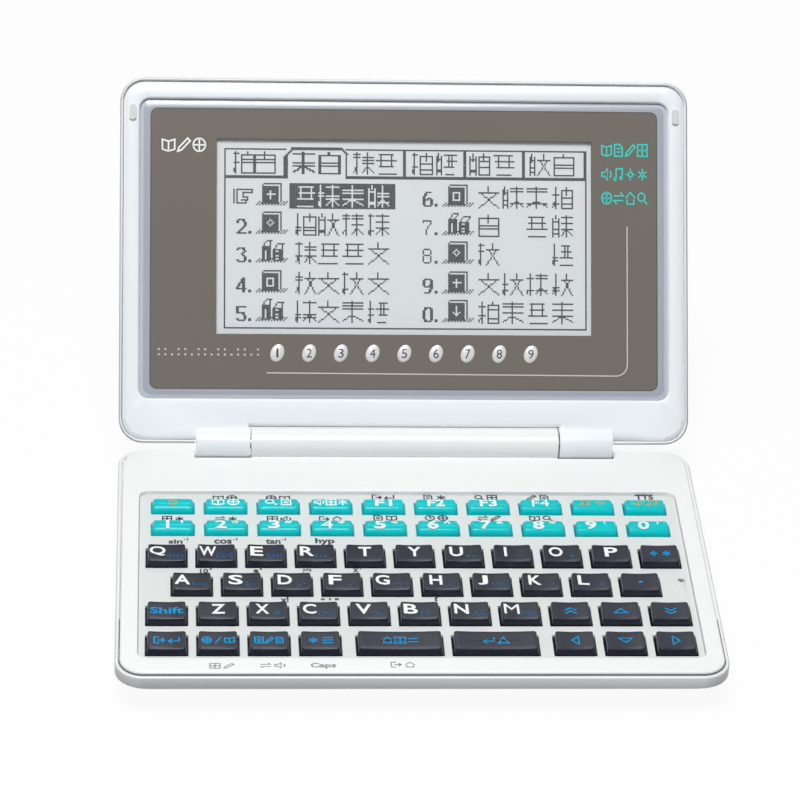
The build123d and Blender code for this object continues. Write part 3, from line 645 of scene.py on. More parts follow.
# plain pictograms in a unit square, in place of words
signs = {
    "power": [arcPoints(0.5, 0.45, 0.42, 120, 420), [(0.5, 0.5), (0.5, 1)]],
    "book": [
        [(0, 0.15), (0, 0.9), (0.5, 0.75), (1, 0.9), (1, 0.15), (0.5, 0), (0, 0.15)],
        [(0.5, 0), (0.5, 0.75)],
    ],
    "page": [
        [(0.1, 0), (0.1, 1), (0.65, 1), (0.9, 0.75), (0.9, 0), (0.1, 0)], [(0.3, 0.65), (0.7, 0.65)],
        [(0.3, 0.35), (0.7, 0.35)],
    ],
    "globe": [arcPoints(0.5, 0.5, 0.5), [(0, 0.5), (1, 0.5)], [(0.5, 0), (0.5, 1)]],
    "lens": [arcPoints(0.4, 0.6, 0.36), [(0.66, 0.34), (1, 0)]],
    "clock": [arcPoints(0.5, 0.5, 0.48), [(0.5, 0.85), (0.5, 0.5), (0.75, 0.5)]],
    "house": [[(0, 0.5), (0.5, 1), (1, 0.5)], [(0.15, 0.4), (0.15, 0), (0.85, 0), (0.85, 0.4)]],
    "note": [
        [(0.25, 0.1), (0.25, 0.95), (0.9, 1), (0.9, 0.2)], arcPoints(0.13, 0.1, 0.12),
        arcPoints(0.78, 0.2, 0.12),
    ],
    "grid": [[(0, 0), (0, 1), (1, 1), (1, 0), (0, 0)], [(0, 0.5), (1, 0.5)], [(0.5, 0), (0.5, 1)]],
    "star": [[(0.5, 0), (0.5, 1)], [(0.07, 0.25), (0.93, 0.75)], [(0.07, 0.75), (0.93, 0.25)]],
    "voice": [
        [(0, 0.33), (0, 0.67), (0.3, 0.67), (0.6, 1), (0.6, 0), (0.3, 0.33), (0, 0.33)],
        [(0.85, 0.2), (1, 0.5), (0.85, 0.8)],
    ],
    "leave": [
        [(0.5, 0), (0, 0), (0, 1), (0.5, 1)], [(0.3, 0.5), (1, 0.5)], [(0.7, 0.85), (1, 0.5), (0.7, 0.15)],
    ],
    "swap": [[(0, 0.7), (1, 0.7), (0.7, 1)], [(1, 0.3), (0, 0.3), (0.3, 0)]],
    "sun": [
        arcPoints(0.5, 0.5, 0.22), [(0.5, 0.85), (0.5, 1)], [(0.5, 0), (0.5, 0.15)],
        [(0, 0.5), (0.15, 0.5)], [(0.85, 0.5), (1, 0.5)],
    ],
    "pen": [[(0, 0), (0.1, 0.3), (0.8, 1), (1, 0.8), (0.3, 0.1), (0, 0)]],
    "back": [[(1, 1), (1, 0.35), (0, 0.35)], [(0.3, 0.7), (0, 0.35), (0.3, 0)]],
    "bars": [[(0, 0.05), (1, 0.05)], [(0, 0.5), (1, 0.5)], [(0, 0.95), (1, 0.95)]],
    "slash": [[(0.2, 0), (0.8, 1)]],
    "equals": [[(0, 0.75), (1, 0.75)], [(0, 0.25), (1, 0.25)]],
    "up": [[(0, 0), (0.5, 1), (1, 0), (0, 0)]],
    "down": [[(0, 1), (0.5, 0), (1, 1), (0, 1)]],
    "left": [[(1, 0), (0, 0.5), (1, 1), (1, 0)]],
    "right": [[(0, 0), (1, 0.5), (0, 1), (0, 0)]],
    "pageUp": [[(0, 0), (0.5, 0.45), (1, 0)], [(0, 0.55), (0.5, 1), (1, 0.55)]],
    "pageDown": [[(0, 1), (0.5, 0.55), (1, 1)], [(0, 0.45), (0.5, 0), (1, 0.45)]],
    "dot": [[(0, 0.5), (1, 0.5)]],
}


def drawSign(name, left, right, bottom, top, thick=0.3):
    width, height = right - left, top - bottom
    paths = [[(left + px * width, bottom + py * height) for px, py in path] for path in signs[name]]
    return strokes(paths, thick)


def signRow(names, middle, top, height, width, thick=0.3):
    gap = 0.9 if len(names) == 2 else 0.5
    left = middle - (len(names) * width + (len(names) - 1) * gap) / 2
    drawn = []
    for name in names:
        drawn.append(drawSign(name, left, left + width, top - height, top, thick))
        left += width + gap
    return drawn


# letters: where the letter starts and ends from the key's left edge, then the second function likewise
letterLegend = {
    "from": 4.435, "top": 1.15, "height": 3.4, "bold": 0.022,
    "secondTop": 3.6, "secondHeight": 1.65, "secondBold": 0.01, "dashDrop": 0.9, "dashHeight": 0.3,
}
letterMarks = {
    "q": (0.7, 4.2, "sin", 4.4, 8.0), "w": (0.7, 4.4, "cos", 4.3, 8.0), "e": (1.0, 3.8, "tan", 4.4, 7.8),
    "r": (1.0, 4.1, "1/x", 4.4, 7.3),
    "t": (3.0, 5.8), "y": (3.0, 5.9), "u": (1.3, 4.3, "+/-", 4.7, 7.6), "i": (2.5, 3.1, "-", 5.6, 6.5),
    "o": (1.5, 4.6, "÷", 6.0, 7.1),
    "p": (3.0, 5.9), "a": (0.7, 4.1, "log", 4.5, 8.0), "s": (1.5, 4.6, "ln", 5.3, 7.3),
    "d": (1.3, 4.4, "x²", 5.2, 7.4),
    "f": (1.5, 4.3, "√", 5.4, 6.9), "g": (0.8, 3.9, "M+", 4.6, 7.9), "h": (1.7, 4.5, "C", 5.9, 7.2),
    "j": (1.35, 3.6, "MC", 4.4, 7.9),
    "k": (1.6, 4.4, "-", 6.2, 7.1), "l": (1.55, 4.0, "×", 6.0, 7.5), "z": (3.1, 6.1),
    "x": (1.7, 4.6, "π", 5.8, 7.1),
    "c": (1.0, 3.9, "EXP", 4.3, 7.7), "v": (1.5, 4.9, "%", 5.4, 7.4), "b": (0.95, 4.0, "M−", 4.7, 7.6),
    "n": (1.0, 4.1, "AC", 4.8, 7.9),
    "m": (0.9, 4.2, "MR", 4.6, 8.0),
}
digitMarks = list(zip("1234567890", "!@#$%^&*()"))
smallLegend = {
    "from": 4.75, "left": 2.35, "width": 2.5, "top": 0.5, "height": 3.0, "bold": 0.02, "oneNarrow": 0.92,
    "secondLeft": 6.0, "secondWidth": 1.5, "secondHeight": 1.25, "secondBold": 0.01, "secondNarrow": 0.45,
}


def keyFace(node, index):
    # a key's left and rear edge, its middle, and its top as a function of x and y
    small = node in smallNodes
    x, y, width, depth, top = keyTop(keyBoxes[node][index], small)
    return x - (smallLegend if small else letterLegend)["from"], y + depth / 2, x, top


for letter, marks in letterMarks.items():
    left, rear, middle, surface = keyFace("key_" + letter, 0)
    legend = bmesh.new()
    top = rear - letterLegend["top"]
    bottom = top - letterLegend["height"]
    drawn = lettering(letter.upper(), left + marks[0], left + marks[1], bottom, top, letterLegend["bold"])
    layInk(legend, drawn, surface, "white")
    if len(marks) > 2:
        text, start, end = marks[2:]
        dash = text in ("-", "−")
        top = rear - letterLegend["secondTop"]
        bottom = top - letterLegend["dashDrop" if dash else "secondHeight"]
        height = letterLegend["dashHeight" if dash else "secondHeight"]
        drawn = lettering(
            text, left + start, left + end, bottom, bottom + height, letterLegend["secondBold"],
        )
        layInk(legend, drawn, surface, "deepBlue")
    finishPrint(letter + "Legend", legend, "key_" + letter)

legend = bmesh.new()
size = smallLegend
for index, (digit, second) in enumerate(digitMarks):
    left, rear, middle, surface = keyFace("digit_keys", index)
    top = rear - size["top"]
    narrow = size["oneNarrow"] if digit == "1" else 0
    start = left + size["left"] + narrow
    end = start + size["width"] - 2 * narrow
    layInk(legend, lettering(digit, start, end, top - size["height"], top, size["bold"]), surface, "white")
    narrow = size["secondNarrow"] if second in "!()" else 0
    start = left + size["secondLeft"]
    end = start + size["secondWidth"] - narrow
    drawn = lettering(second, start + narrow, end, top - size["secondHeight"], top, size["secondBold"])
    layInk(legend, drawn, surface, "white")
finishPrint("digitLegends", legend, "digit_keys")

functionLegend = {
    "top": 0.65, "height": 2.2, "two": 2.5, "three": 2.1, "textHalf": 1.9, "textHeight": 2.5, "bold": 0.02,
    "firstOrange": 7,
}
functionSigns = [
    ("book", "globe"), ("lens", "page"), ("voice", "grid", "star"), "F1", "F2", "F3", "F4",
    ("note", "sun"), ("voice", "note"),
]
legend = bmesh.new()
size = functionLegend
for index, content in enumerate(functionSigns):
    left, rear, middle, surface = keyFace("function_keys", index)
    top = rear - size["top"]
    if isinstance(content, str):
        half = size["textHalf"]
        drawn = lettering(
            content, middle - half, middle + half, top - size["textHeight"], top, size["bold"],
        )
        layInk(legend, drawn, surface, "white")
        continue
    for drawn in signRow(
        content, middle, top, size["height"], size["two" if len(content) == 2 else "three"],
    ):
        layInk(legend, drawn, surface, "orange" if index >= size["firstOrange"] else "white")
finishPrint("functionLegends", legend, "function_keys")

powerLegend = {"half": 1.0, "low": 2.9, "high": 0.7}
legend = bmesh.new()
left, rear, middle, surface = keyFace("key_power", 0)
half = powerLegend["half"]
drawn = drawSign(
    "power", middle - half, middle + half, rear - powerLegend["low"], rear - powerLegend["high"],
)
layInk(legend, drawn, surface, "orange")
finishPrint("powerLegend", legend, "key_power")

# signs in blue: what stands on each key and how wide each sign is; some have heights of their own
blueLegend = {"middle": 3.4, "height": 2.0, "thick": 0.33, "dotThick": 0.6}
signHeights = {"dot": 0.6, "up": 1.5, "down": 1.5, "left": 2.7, "right": 2.7}
shiftLegend = {"left": 0.9, "right": 8.0, "low": 4.6, "high": 2.3, "bold": 0.02}
blueSigns = {
    "key_backlight": [(("sun", "star"), 1.9)],
    "command_keys": [
        (("dot",), 0.75), (("leave", "back"), 2.2), (("globe", "slash", "book"), 1.9),
        (("grid", "pen", "page"), 1.7), (("star", "bars"), 2.2),
    ],
    "key_space": [(("house", "grid", "equals"), 2.2)],
    "key_enter": [(("back", "up"), 2.2)],
    "arrow_keys": [(("up",), 2.9), (("left",), 1.5), (("down",), 2.9), (("right",), 1.5)],
    "page_keys": [(("pageUp",), 2.5), (("pageDown",), 2.5)],
}
legend = bmesh.new()
size = shiftLegend
left, rear, middle, surface = keyFace("key_shift", 0)
edges = (left + size["left"], left + size["right"], rear - size["low"], rear - size["high"])
layInk(legend, lettering("Shift", *edges, size["bold"]), surface, "blue")
finishPrint("keyshiftLegend", legend, "key_shift")
for node, rows in blueSigns.items():
    legend = bmesh.new()
    for index, (names, width) in enumerate(rows):
        left, rear, middle, surface = keyFace(node, index)
        height = signHeights.get(names[0], blueLegend["height"])
        thick = blueLegend["dotThick" if names == ("dot",) else "thick"]
        for drawn in signRow(names, middle, rear - blueLegend["middle"] + height / 2, height, width, thick):
            layInk(legend, drawn, surface, "blue")
    finishPrint(node.replace("_", "") + "Legend", legend, node)
print("legends printed")


# black labels on the panel and grey ones on the deck: x from and to, y from and to, what stands there
panelMarks = [
    (-53.7, -50.6, 5.4, 7.0, "sin"), (-50.4, -49.4, 6.6, 7.6, "-1"), (-43.7, -39.8, 5.4, 7.0, "cos"),
    (-39.6, -38.6, 6.6, 7.6, "-1"),
    (-32.4, -29.1, 5.4, 7.2, "tan"), (-28.9, -27.9, 6.6, 7.6, "-1"), (-21.5, -17.2, 5.1, 7.6, "hyp"),
    (51.2, 55.3, 22.6, 24.5, "TTS"),
    (-46.9, -45.1, -5.3, -3.9, "10"), (-44.9, -44.2, -4.2, -3.4, "x"), (-35.3, -34.2, -5.2, -4.0, "e"),
    (-34.0, -33.3, -4.2, -3.4, "x"),
    (-24.6, -22.6, -5.2, -3.3, "y√x"), (-13.6, -12.4, -5.0, -3.6, "x"), (-12.2, -11.5, -4.0, -3.1, "y"),
    (-29.7, -27.9, -15.9, -13.9, "x!"),
    (-21.0, -17.1, -15.2, -14.4, "° ' \""), (3.5, 4.4, -15.5, -13.3, "?"),
    (-43.7, -38.5, 21.9, 23.7, ("book", "globe")), (-31.9, -26.7, 21.9, 23.7, ("globe", "book")),
    (-8.1, -3.3, 22.3, 24.1, ("leave", "back")),
    (3.3, 8.4, 22.3, 24.1, ("page", "star")), (14.9, 19.8, 22.3, 24.1, ("lens", "grid")),
    (26.6, 31.6, 22.3, 24.1, ("pen", "page")),
    (-55.0, -50.3, 13.9, 15.7, ("grid", "star")), (-43.3, -38.5, 13.9, 15.7, ("swap", "star")),
    (-31.8, -26.6, 13.9, 15.7, ("grid", "voice")),
    (-20.2, -15.3, 13.9, 15.7, ("leave", "house")), (-8.3, -3.1, 14.4, 16.2, ("page", "book")),
    (3.3, 8.3, 14.4, 16.2, ("clock", "globe")),
    (15.1, 20.1, 14.4, 16.2, ("swap", "pen")), (26.7, 31.7, 14.4, 16.2, ("book", "lens")),
]
deckMarks = [
    (-45.05, -40.03, -39.6, -38.0, ("grid", "pen")), (-34.5, -29.3, -39.5, -37.8, ("swap", "voice")),
    (-24.0, -18.6, -39.8, -37.8, "Caps"), (-7.0, -2.0, -39.2, -37.6, ("leave", "house")),
]

labelPrint = {"bold": 0.035, "signShare": 0.42, "panelThick": 0.32, "deckThick": 0.26}


def printLabels(name, marks, colour, level, thick):
    shape = bmesh.new()
    for left, right, bottom, top, content in marks:
        if isinstance(content, str):
            layFlat(shape, lettering(content, left, right, bottom, top, labelPrint["bold"]), level, colour)
            continue
        width = (right - left) * labelPrint["signShare"]
        for start, sign in ((left, content[0]), (right - width, content[1])):
            layFlat(shape, drawSign(sign, start, start + width, bottom, top, thick), level, colour)
    finishPrint(name, shape, "base")


printLabels("panelLabels", panelMarks, "black", plateTop, labelPrint["panelThick"])
printLabels("deckLabels", deckMarks, "grey", deckTop, labelPrint["deckThick"])

# a thin dark strip lies in the front of the joint between the deck and the rim of the case: painted shade,
# standing for the shadow in that groove
paintedJointShadeFinish = mouldedSurface("darkSealRubber", "55585A", 0.6, 0.03, 10, 0.3, 0.004)
jointSeal = {
    "half": 64.1, "front": -41.1, "corner": 5.1, "rear": -22.0, "width": 0.18, "low": 9.25, "tall": 0.22,
}
half, front, corner = jointSeal["half"], jointSeal["front"], jointSeal["corner"]
path = [(-half, jointSeal["rear"])] + arcPoints(corner - half, front + corner, corner, 180, 270)
path += arcPoints(half - corner, front + corner, corner, 270, 360) + [(half, jointSeal["rear"])]
shadeStrip = bmesh.new()
layFlat(shadeStrip, strokes([path], jointSeal["width"]), jointSeal["low"], lift=jointSeal["tall"])
finishPiece("jointSeal", shadeStrip, [paintedJointShadeFinish], "base")
print("labels printed")


# screen: a clear lens with its printed border, painted shade, shadow and highlight round its edge, the
# display behind it and the dots that it shows
def lidBox(node):
    back = lidTurn.inverted()
    points = [back @ v.co / mm for v in nodes[node].data.vertices]
    return [
        Vector((f(p.x for p in points), f(p.y for p in points), f(p.z for p in points)))
        for f in (min, max)
    ]


def lidRing(left, right, low, high, corner, n):
    flat = roundedRing(right - left, high - low, corner, arc=6, sideX=4, sideY=3)
    return [
        lidTurn @ (Vector(((left + right) / 2 + x, (low + high) / 2 + y, n)) * mm) / mm
        for x, y in flat
    ]


# acrylic sheet, back-printed with a warm brown; the print reads as satin under a glossy skin
brownPrint = mouldedSurface("brownBackPrintedAcrylic", "6C665E", 0.22, 0.01, 30, 0.5, 0.0005)
# a blue-grey band between the bevel and the print: painted shade, standing for the white pocket floor seen
# in shadow through the lens's clear edge
paintedShadeBand = mouldedSurface("silverBluePrintedAcrylic", "A6ACB7", 0.22, 0.01, 30, 0.5, 0.0005)
# a narrow dark band at the edge of the brown print: painted shadow, standing for the shade where the back
# print lies below the lens face
paintedShadowOutline = mouldedSurface("darkOutlinePrint", "595650", 0.25, 0.01, 30, 0.5, 0.0005)
# the lens's side and outer chamfer in a lighter grey: painted highlight, standing for the polished edge
# catching the light
paintedHighlightBevel = mouldedSurface("polishedAcrylicBevel", "BCC1CA", 0.15, 0.01, 30, 0.5, 0.0005)
clearAcrylic = mouldedSurface(
    "clearAcrylicWindow", "FFFFFF", 0.08, 0.0, 30, 0.5, 0.0002, wear=0.02, Alpha=0.05,
)
lensPrint = {
    "half": 58.13, "low": 12.10, "high": 76.39, "corner": 1.7, "edge": 0.3,
    "bevelWidth": 0.8, "bevelDrop": 0.35, "outerCorner": 2.2, "topCorner": 1.8,
}
window = {"left": -43.03, "right": 42.91, "low": 24.75, "high": 69.4, "corner": 0.15}


def lidRingIn(low, high, inset, corner, n):
    return lidRing(low.x + inset, high.x - inset, low.y + inset, high.y - inset, corner, n)


lensLow, lensHigh = lidBox("screen_lens")
top = lensHigh.z
half, edge = lensPrint["half"], lensPrint["edge"]
borderLow = Vector((-half, lensPrint["low"], 0))
borderHigh = Vector((half, lensPrint["high"], 0))
opening = (window["left"], window["right"], window["low"], window["high"], window["corner"])
lens = bmesh.new()
# bands from the back: brown underside, side and chamfer in the painted highlight, the band of painted shade,
# the outline of painted shadow, then the brown print
joinRings(lens, [
    lidRing(*opening, lensLow.z),
    lidRingIn(lensLow, lensHigh, 0, lensPrint["outerCorner"], lensLow.z),
    lidRingIn(lensLow, lensHigh, 0, lensPrint["outerCorner"], top - lensPrint["bevelDrop"]),
    lidRingIn(lensLow, lensHigh, lensPrint["bevelWidth"], lensPrint["topCorner"], top),
    lidRingIn(borderLow, borderHigh, 0, lensPrint["corner"], top),
    lidRingIn(borderLow, borderHigh, edge, lensPrint["corner"] - edge, top),
    lidRing(*opening, top),
], paint=[0, 2, 2, 1, 3, 0])
# the two faces made last are the clear window's back and front
lens.faces.ensure_lookup_table()
for face in lens.faces[-2:]:
    face.material_index = 4
lensMaterials = [brownPrint, paintedShadeBand, paintedHighlightBevel, paintedShadowOutline, clearAcrylic]
finishPiece("screenLens", lens, lensMaterials, "lid", ["screen_lens"])

# reflective liquid-crystal glass: a pale grey-green field with a faint sheen
displayGlass = mouldedSurface("reflectiveDisplayGlass", "DCE1E4", 0.4, 0.004, 40, 0.3, 0.0005)
frontGlass = {"inset": 1.2, "top": -0.7, "edge": 0.1, "corner": 0.3, "clear": 0.01}
panelLow, panelHigh = lidBox("lcd_panel")
panel = mergedCopy("lcd_panel")
size = frontGlass
joinRings(panel, [
    lidRingIn(panelLow, panelHigh, size["inset"], size["corner"], panelHigh.z + size["clear"]),
    lidRingIn(panelLow, panelHigh, size["inset"], size["corner"], size["top"] - size["edge"]),
    lidRingIn(panelLow, panelHigh, size["inset"] + size["edge"], size["corner"], size["top"]),
])
finishPiece("displayPanel", panel, [displayGlass], "lid", ["lcd_panel"])

# the dot picture: columns count to the right and rows down from its top left corner
display = {
    "left": -41.29, "top": 67.7, "across": 0.3466, "down": 0.3444, "dot": 0.335,
    "thick": 0.04, "lift": 0.02, "seed": 7,
}
lit = set()


def fillDots(c0, r0, c1, r1, on=True):
    for c in range(c0, c1 + 1):
        for r in range(r0, r1 + 1):
            (lit.add if on else lit.discard)((c, r))


def lineDots(c0, r0, c1, r1, on, thick):
    steps = max(abs(c1 - c0), abs(r1 - r0), 1)
    for i in range(steps + 1):
        c = round(c0 + (c1 - c0) * i / steps)
        r = round(r0 + (r1 - r0) * i / steps)
        fillDots(c, r, c + thick - 1, r, on)


def linesAt(c, r, lines, on=True, thick=1):
    for c0, r0, c1, r1 in lines:
        lineDots(c + c0, r + r0, c + c1, r + r1, on, thick)


def filler(c, r, dice, on=True, thick=1):
    # meaningless strokes that fill a 14 by 15 cell as evenly as a written sign does
    split = dice.choice((0, 0, 4, 5))
    parts = [(c, split - 1), (c + split + 1, 13 - split - 1)] if split else [(c, 13)]
    for start, width in parts:
        wide = width > 5
        kind = dice.choice("bthx" if wide else "tb")
        middle = width // 2
        thin = []
        if kind == "b":
            lines = [(0, row, width, row) for row in ((2, 14) if wide else (4, 12))]
            lines += [(column, 2, column, 14) for column in (0, width)]
            thin = [(0, row, width, row) for row in dice.sample((5, 7, 9, 11), 1 + wide)]
            lines.append((middle, 0, middle, dice.choice((2, 5))))
        elif kind == "t":
            lines = [(middle, 0, middle, 14), (middle, 9, 0, 13)]
            lines += [(0, row, width, row) for row in dice.sample((1, 3, 5, 7, 9, 11), 2 + wide)]
            if wide:
                lines.append((middle, 9, width, 13))
        elif kind == "h":
            lines = [(dice.randint(0, 2), row, width - dice.randint(0, 2), row) for row in (1, 5, 9, 14)]
            lines += [(3, 1, 3, 9), (width - 3, 1, width - 3, 9)]
        else:
            lines = [(0, 4, width, 4), (middle, 0, middle, 4), (2, 5, width, 14), (width - 2, 5, 0, 14)]
        linesAt(start, r, lines, on, thick)
        linesAt(start, r, thin, on)


def groundDots(c, r):
    linesAt(c, r, [(start, 14, start + 2, 12) for start in range(-4, 16, 2)])


# small marks left clear on the covers of the books
coverMarks = {
    "plus": ((5, 5, 5, 10), (3, 7, 8, 7)),
    "diamond": ((3, 7, 5, 5), (5, 5, 7, 7), (7, 7, 5, 9), (5, 9, 3, 7)),
    "square": ((3, 5, 7, 5), (7, 5, 7, 10), (7, 10, 3, 10), (3, 10, 3, 5)),
    "arrow": ((5, 4, 5, 10), (3, 8, 5, 10), (5, 10, 7, 8)),
}


def bookDots(c, r, mark):
    groundDots(c, r)
    fillDots(c, r + 2, c + 10, r + 13)
    fillDots(c + 11, r + 1, c + 11, r + 12, False)
    fillDots(c + 1, r + 1, c + 11, r + 1, False)
    linesAt(c, r, ((0, 1, 1, 0), (1, 0, 12, 0), (12, 0, 12, 11)))
    linesAt(c, r, coverMarks[mark], False)


def boxesDots(c, r):
    groundDots(c, r)
    for start, top, width in ((0, 4, 5), (7, 6, 6)):
        fillDots(c + start, r + top - 2, c + start + width, r + top - 1, False)
        fillDots(c + start, r + top, c + start + width, r + 13)
        linesAt(c + start, r + top, ((0, 0, 3, -4), (3, -4, width + 1, -4), (width + 1, -4, width - 1, 0)))
    for row in (6, 9, 11):
        fillDots(c + 9, r + row + 1, c + 10, r + row + 1, False)
    fillDots(c + 2, r + 7, c + 2, r + 12, False)


# digits as strokes on a grid of 6 by 10 dots
digitDots = {
    "2": (0, 2, 1, 0, 4, 0, 5, 2, 5, 4, 0, 9, 5, 9),
    "3": (0, 1, 1, 0, 4, 0, 5, 2, 3, 4, 5, 6, 5, 8, 4, 9, 1, 9, 0, 8),
    "4": (5, 7, 0, 7, 0, 6, 4, 0, 4, 9), "5": (5, 0, 0, 0, 0, 4, 4, 4, 5, 6, 5, 8, 4, 9, 1, 9, 0, 8),
    "6": (4, 0, 2, 0, 0, 3, 0, 8, 1, 9, 4, 9, 5, 8, 5, 5, 4, 4, 0, 5),
    "7": (0, 1, 0, 0, 5, 0, 5, 2, 2, 6, 2, 9),
    "8": (1, 4, 0, 3, 0, 1, 1, 0, 4, 0, 5, 1, 5, 3, 4, 4, 1, 4, 0, 5, 0, 8, 1, 9, 4, 9, 5, 8, 5, 5, 4, 4),
    "9": (5, 4, 1, 5, 0, 4, 0, 1, 1, 0, 4, 0, 5, 1, 5, 6, 3, 9, 1, 9),
    "0": (1, 0, 4, 0, 5, 2, 5, 7, 4, 9, 1, 9, 0, 7, 0, 2, 1, 0),
}


def numberDots(digit, c, r, thick):
    path = digitDots[digit]
    linesAt(c, r, [path[i:i + 4] for i in range(0, len(path) - 2, 2)], thick=thick)
    fillDots(c + 8, r + 8, c + 9, r + 9)


dice = random.Random(display["seed"])
lastColumn, lastRow, tabRow = 239, 120, 20
# the frame, and the row of tabs with the second one raised
linesAt(0, 0, (
    (0, 1, 0, lastRow), (lastColumn, 1, lastColumn, lastRow), (0, lastRow, lastColumn, lastRow),
    (0, 1, 40, 1), (80, 1, lastColumn, 1), (80, 4, 80, tabRow),
))
linesAt(0, 0, ((40, 5, 44, 1), (77, 1, 80, 4)), thick=2)
tabEdges = (
    (1, tabRow - 1, 40, tabRow), (81, tabRow - 1, lastColumn, tabRow), (39, 6, 41, tabRow), (44, 0, 77, 1),
)
for block in tabEdges:
    fillDots(*block)
for column in (118, 158, 197, 238):
    fillDots(column, 2, column + 1, tabRow)
tabTop, boldTab = 3, 1
for tab, columns in enumerate(((6, 20), (45, 62), (85, 100), (124, 140), (162, 178), (202, 218))):
    for column in columns:
        filler(column, tabTop, dice, thick=2 if tab == boldTab else 1)

# two lists of five lines: number, picture and filler signs; the first line stands on a dark bar
lists = {
    "tops": (24, 43, 62, 82, 101), "pictures": (25, 148), "numbers": (8, 131), "numberDrop": 5,
    "left": (47, 62, 78, 95), "right": (168, 184, 200, 217), "gaps": ((1, 1), (2, 1), (2, 2)),
    "covers": (
        ("plus", "square"), ("diamond", None), (None, "diamond"), ("square", "plus"), (None, "arrow"),
    ),
    "thick": (2, 1, 1, 2, 2), "bar": (43, 24, 112, 40),
}
fillDots(*lists["bar"])
for row, (top, marks) in enumerate(zip(lists["tops"], lists["covers"])):
    for column, mark in zip(lists["pictures"], marks):
        if mark:
            bookDots(column, top, mark)
        else:
            boxesDots(column, top)
    if row > 0:
        numberDots(" 2345"[row], lists["numbers"][0], top + lists["numberDrop"], 2)
    numberDots("67890"[row], lists["numbers"][1], top + lists["numberDrop"], lists["thick"][row])
    for column in lists["left"]:
        filler(column, top + 1, dice, row != 0)
    for place, column in enumerate(lists["right"]):
        if (row, place) not in lists["gaps"]:
            filler(column, top + 1, dice)

# a pointing hand beside the first line
linesAt(6, 28, (
    (0, 0, 0, 9), (2, 0, 2, 9), (2, 0, 12, 0), (12, 0, 12, 2), (6, 2, 12, 2), (6, 2, 6, 5),
    (6, 5, 9, 5), (9, 5, 9, 7), (5, 7, 9, 7), (5, 9, 8, 9), (8, 7, 8, 9), (2, 9, 5, 9),
))
print("display dots drawn:", len(lit))


def tileTree(name, tileSize, material):
    # puts a small raised tile on every point of a mesh
    tree = bpy.data.node_groups.new(name, "GeometryNodeTree")
    tree.interface.new_socket("Geometry", in_out="INPUT", socket_type="NodeSocketGeometry")
    sizeSocket = tree.interface.new_socket("Tile size", in_out="INPUT", socket_type="NodeSocketVector")
    tree.interface.new_socket("Geometry", in_out="OUTPUT", socket_type="NodeSocketGeometry")
    inlet, outlet = add(tree, "NodeGroupInput"), add(tree, "NodeGroupOutput")
    tile = add(tree, "GeometryNodeMeshCube", links={"Size": inlet.outputs["Tile size"]})
    lean = {"Rotation": (radians(lidPlace["angle"]), 0, 0)}
    sources = {"Points": inlet.outputs["Geometry"], "Instance": tile.outputs["Mesh"]}
    spread = add(tree, "GeometryNodeInstanceOnPoints", lean, sources)
    real = add(tree, "GeometryNodeRealizeInstances", links={"Geometry": spread.outputs["Instances"]})
    paint = add(
        tree, "GeometryNodeSetMaterial", {"Material": material}, {"Geometry": real.outputs["Geometry"]},
    )
    tree.links.new(paint.outputs["Geometry"], outlet.inputs[0])
    return tree, {sizeSocket.identifier: tileSize}


def growTiles(name, tree, values, points):
    # runs a node tree on points of the lid's plane and keeps the result as a plain mesh
    mesh = bpy.data.meshes.new(name + "Points")
    mesh.from_pydata([lidTurn @ (Vector(p) * mm) for p in points], [], [])
    holder = newObject(name + "Points", mesh)
    modifier = holder.modifiers.new("grow", "NODES")
    modifier.node_group = tree
    for socket, value in values.items():
        modifier[socket] = value
    finishPiece(name, evaluatedCopy(holder), [], "lid", smoothAngle=30)


# dark liquid crystal: cool grey rather than black
displayInk = mouldedSurface(
    "darkLiquidCrystal", "1E272F", 0.45, 0.02, 8, 0.3, 0.0005, Specular_IOR_Level=0.12,
)
dot = display["dot"] * mm
tree, values = tileTree("displayTiles", (dot, dot, display["thick"] * mm), displayInk)
level = frontGlass["top"] + display["lift"]
growTiles("displayDots", tree, values, [
    (display["left"] + (c + 0.5) * display["across"], display["top"] - (r + 0.5) * display["down"], level)
    for c, r in sorted(lit)
])

# nine domed spots, numbered, lean to the right under the window
silverDome = mouldedSurface("pearlSilverPaint", "DADADA", 0.3, 0.03, 2, 0.2, 0.003, Metallic=0.2)
spots = {
    "count": 9, "x": -29.08, "step": 7.245, "v": 20.45, "halfWide": 1.55, "halfTall": 2.1, "lean": -20,
    "rise": 0.35, "sink": 0.05, "turns": (0.12, 0.45, 0.8, 1.15, 1.4), "around": 28,
    "numberTall": 2.1, "numberWide": 1.25, "oneNarrow": 0.4, "cell": 0.4,
}
lean = Matrix.Rotation(radians(spots["lean"]), 2)


def spotRing(centre, share, rise):
    ring = []
    for step in range(spots["around"]):
        turn = 2 * pi * step / spots["around"]
        flat = lean @ Vector(
            (spots["halfWide"] * share * cos(turn), spots["halfTall"] * share * sin(turn))
        ) + centre
        ring.append(lidTurn @ (Vector((*flat, lensHigh.z + rise)) * mm) / mm)
    return ring


def spotHeight(centre, x, y):
    flat = lean.inverted() @ (Vector((x, y)) - centre)
    share = min(1, (flat.x / spots["halfWide"]) ** 2 + (flat.y / spots["halfTall"]) ** 2)
    return lensHigh.z + spots["rise"] * sqrt(1 - share)


domes = bmesh.new()
spotNumbers = bmesh.new()
profile = [(1.0, -spots["sink"])] + [(cos(a), spots["rise"] * sin(a)) for a in spots["turns"]]
for index in range(spots["count"]):
    centre = Vector((spots["x"] + spots["step"] * index, spots["v"]))
    joinRings(domes, [spotRing(centre, share, rise) for share, rise in profile])
    half = spots["numberWide"] / 2 - (spots["oneNarrow"] if index == 0 else 0)
    tall = spots["numberTall"] / 2
    drawn = lettering(str(index + 1), centre.x - half, centre.x + half, centre.y - tall, centre.y + tall)
    layInk(spotNumbers, drawn, lambda x, y: spotHeight(centre, x, y), "black", lidTurn, spots["cell"])
finishPiece("numberedSpots", domes, [silverDome], "lid", smoothAngle=60)
finishPrint("spotNumbers", spotNumbers, "lid")

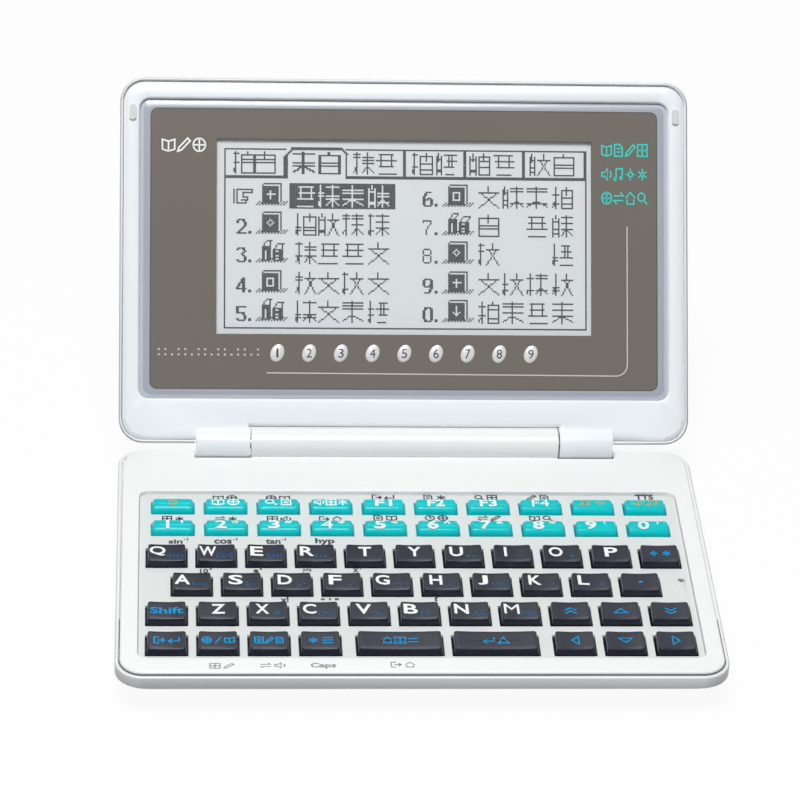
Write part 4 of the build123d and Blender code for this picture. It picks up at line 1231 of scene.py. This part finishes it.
# print on the lens: a fine line, a row of dots and plain pictograms
palePrint = mouldedSurface("palePrintInk", "CFCBC4", 0.35, 0.02, 6, 0.3, 0.001)
cyanPrint = mouldedSurface("cyanPrintInk", "14D6C8", 0.35, 0.02, 6, 0.3, 0.001)
lensLine = {
    "thick": 0.26, "start": (-31.5, 15.9), "low": 15.55, "right": 51.1, "top": 49.9, "corner": 2.6,
    "steps": 8,
}
lensBadge = {
    "signs": ("book", "pen", "globe"), "left": -55.4, "step": 3.5, "wide": 2.8, "low": 66.4, "high": 69.4,
    "thick": 0.36,
}
lensSigns = {
    "rows": {
        68.85: ("book", "page", "pen", "grid"),
        63.3: ("voice", "note", "sun", "star"),
        57.8: ("globe", "swap", "house", "lens"),
    },
    "left": 45.3, "step": 2.75, "wide": 2.2, "tall": 2.7,
}
lensDots = {
    "left": -56.0, "low": 20.0, "across": 1.5, "up": 1.2, "count": 16, "skip": 3, "size": 0.42,
    "thick": 0.05, "lift": 0.01,
}

size = lensLine
corner = arcPoints(
    size["right"] - size["corner"], size["low"] + size["corner"], size["corner"], 270, 360, size["steps"],
)
printed = bmesh.new()
path = [size["start"], *corner, (size["right"], size["top"])]
layFlat(printed, strokes([path], size["thick"]), lensHigh.z, place=lidTurn)
finishPiece("lensLine", printed, [palePrint], "lid", smoothAngle=30)

size = lensBadge
printed = bmesh.new()
for place, sign in enumerate(size["signs"]):
    left = size["left"] + size["step"] * place
    drawn = drawSign(sign, left, left + size["wide"], size["low"], size["high"], size["thick"])
    layFlat(printed, drawn, lensHigh.z, "white", lidTurn)
finishPrint("lensBadge", printed, "lid")

size = lensSigns
printed = bmesh.new()
for high, row in size["rows"].items():
    for place, sign in enumerate(row):
        left = size["left"] + size["step"] * place
        layFlat(
            printed, drawSign(sign, left, left + size["wide"], high - size["tall"], high), lensHigh.z,
            place=lidTurn,
        )
finishPiece("lensSigns", printed, [cyanPrint], "lid", smoothAngle=30)

size = lensDots
tree, values = tileTree(
    "printedDots", (size["size"] * mm, size["size"] * mm, size["thick"] * mm), palePrint,
)
dots = []
for j in range(2):
    for i in range(size["count"]):
        if j == 0 or i % size["skip"] < size["skip"] - 1:
            dots.append(
                (size["left"] + size["across"] * i, size["low"] + size["up"] * j, lensHigh.z + size["lift"])
            )
growTiles("lensDots", tree, values, dots)
print("screen made")
low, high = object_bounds()
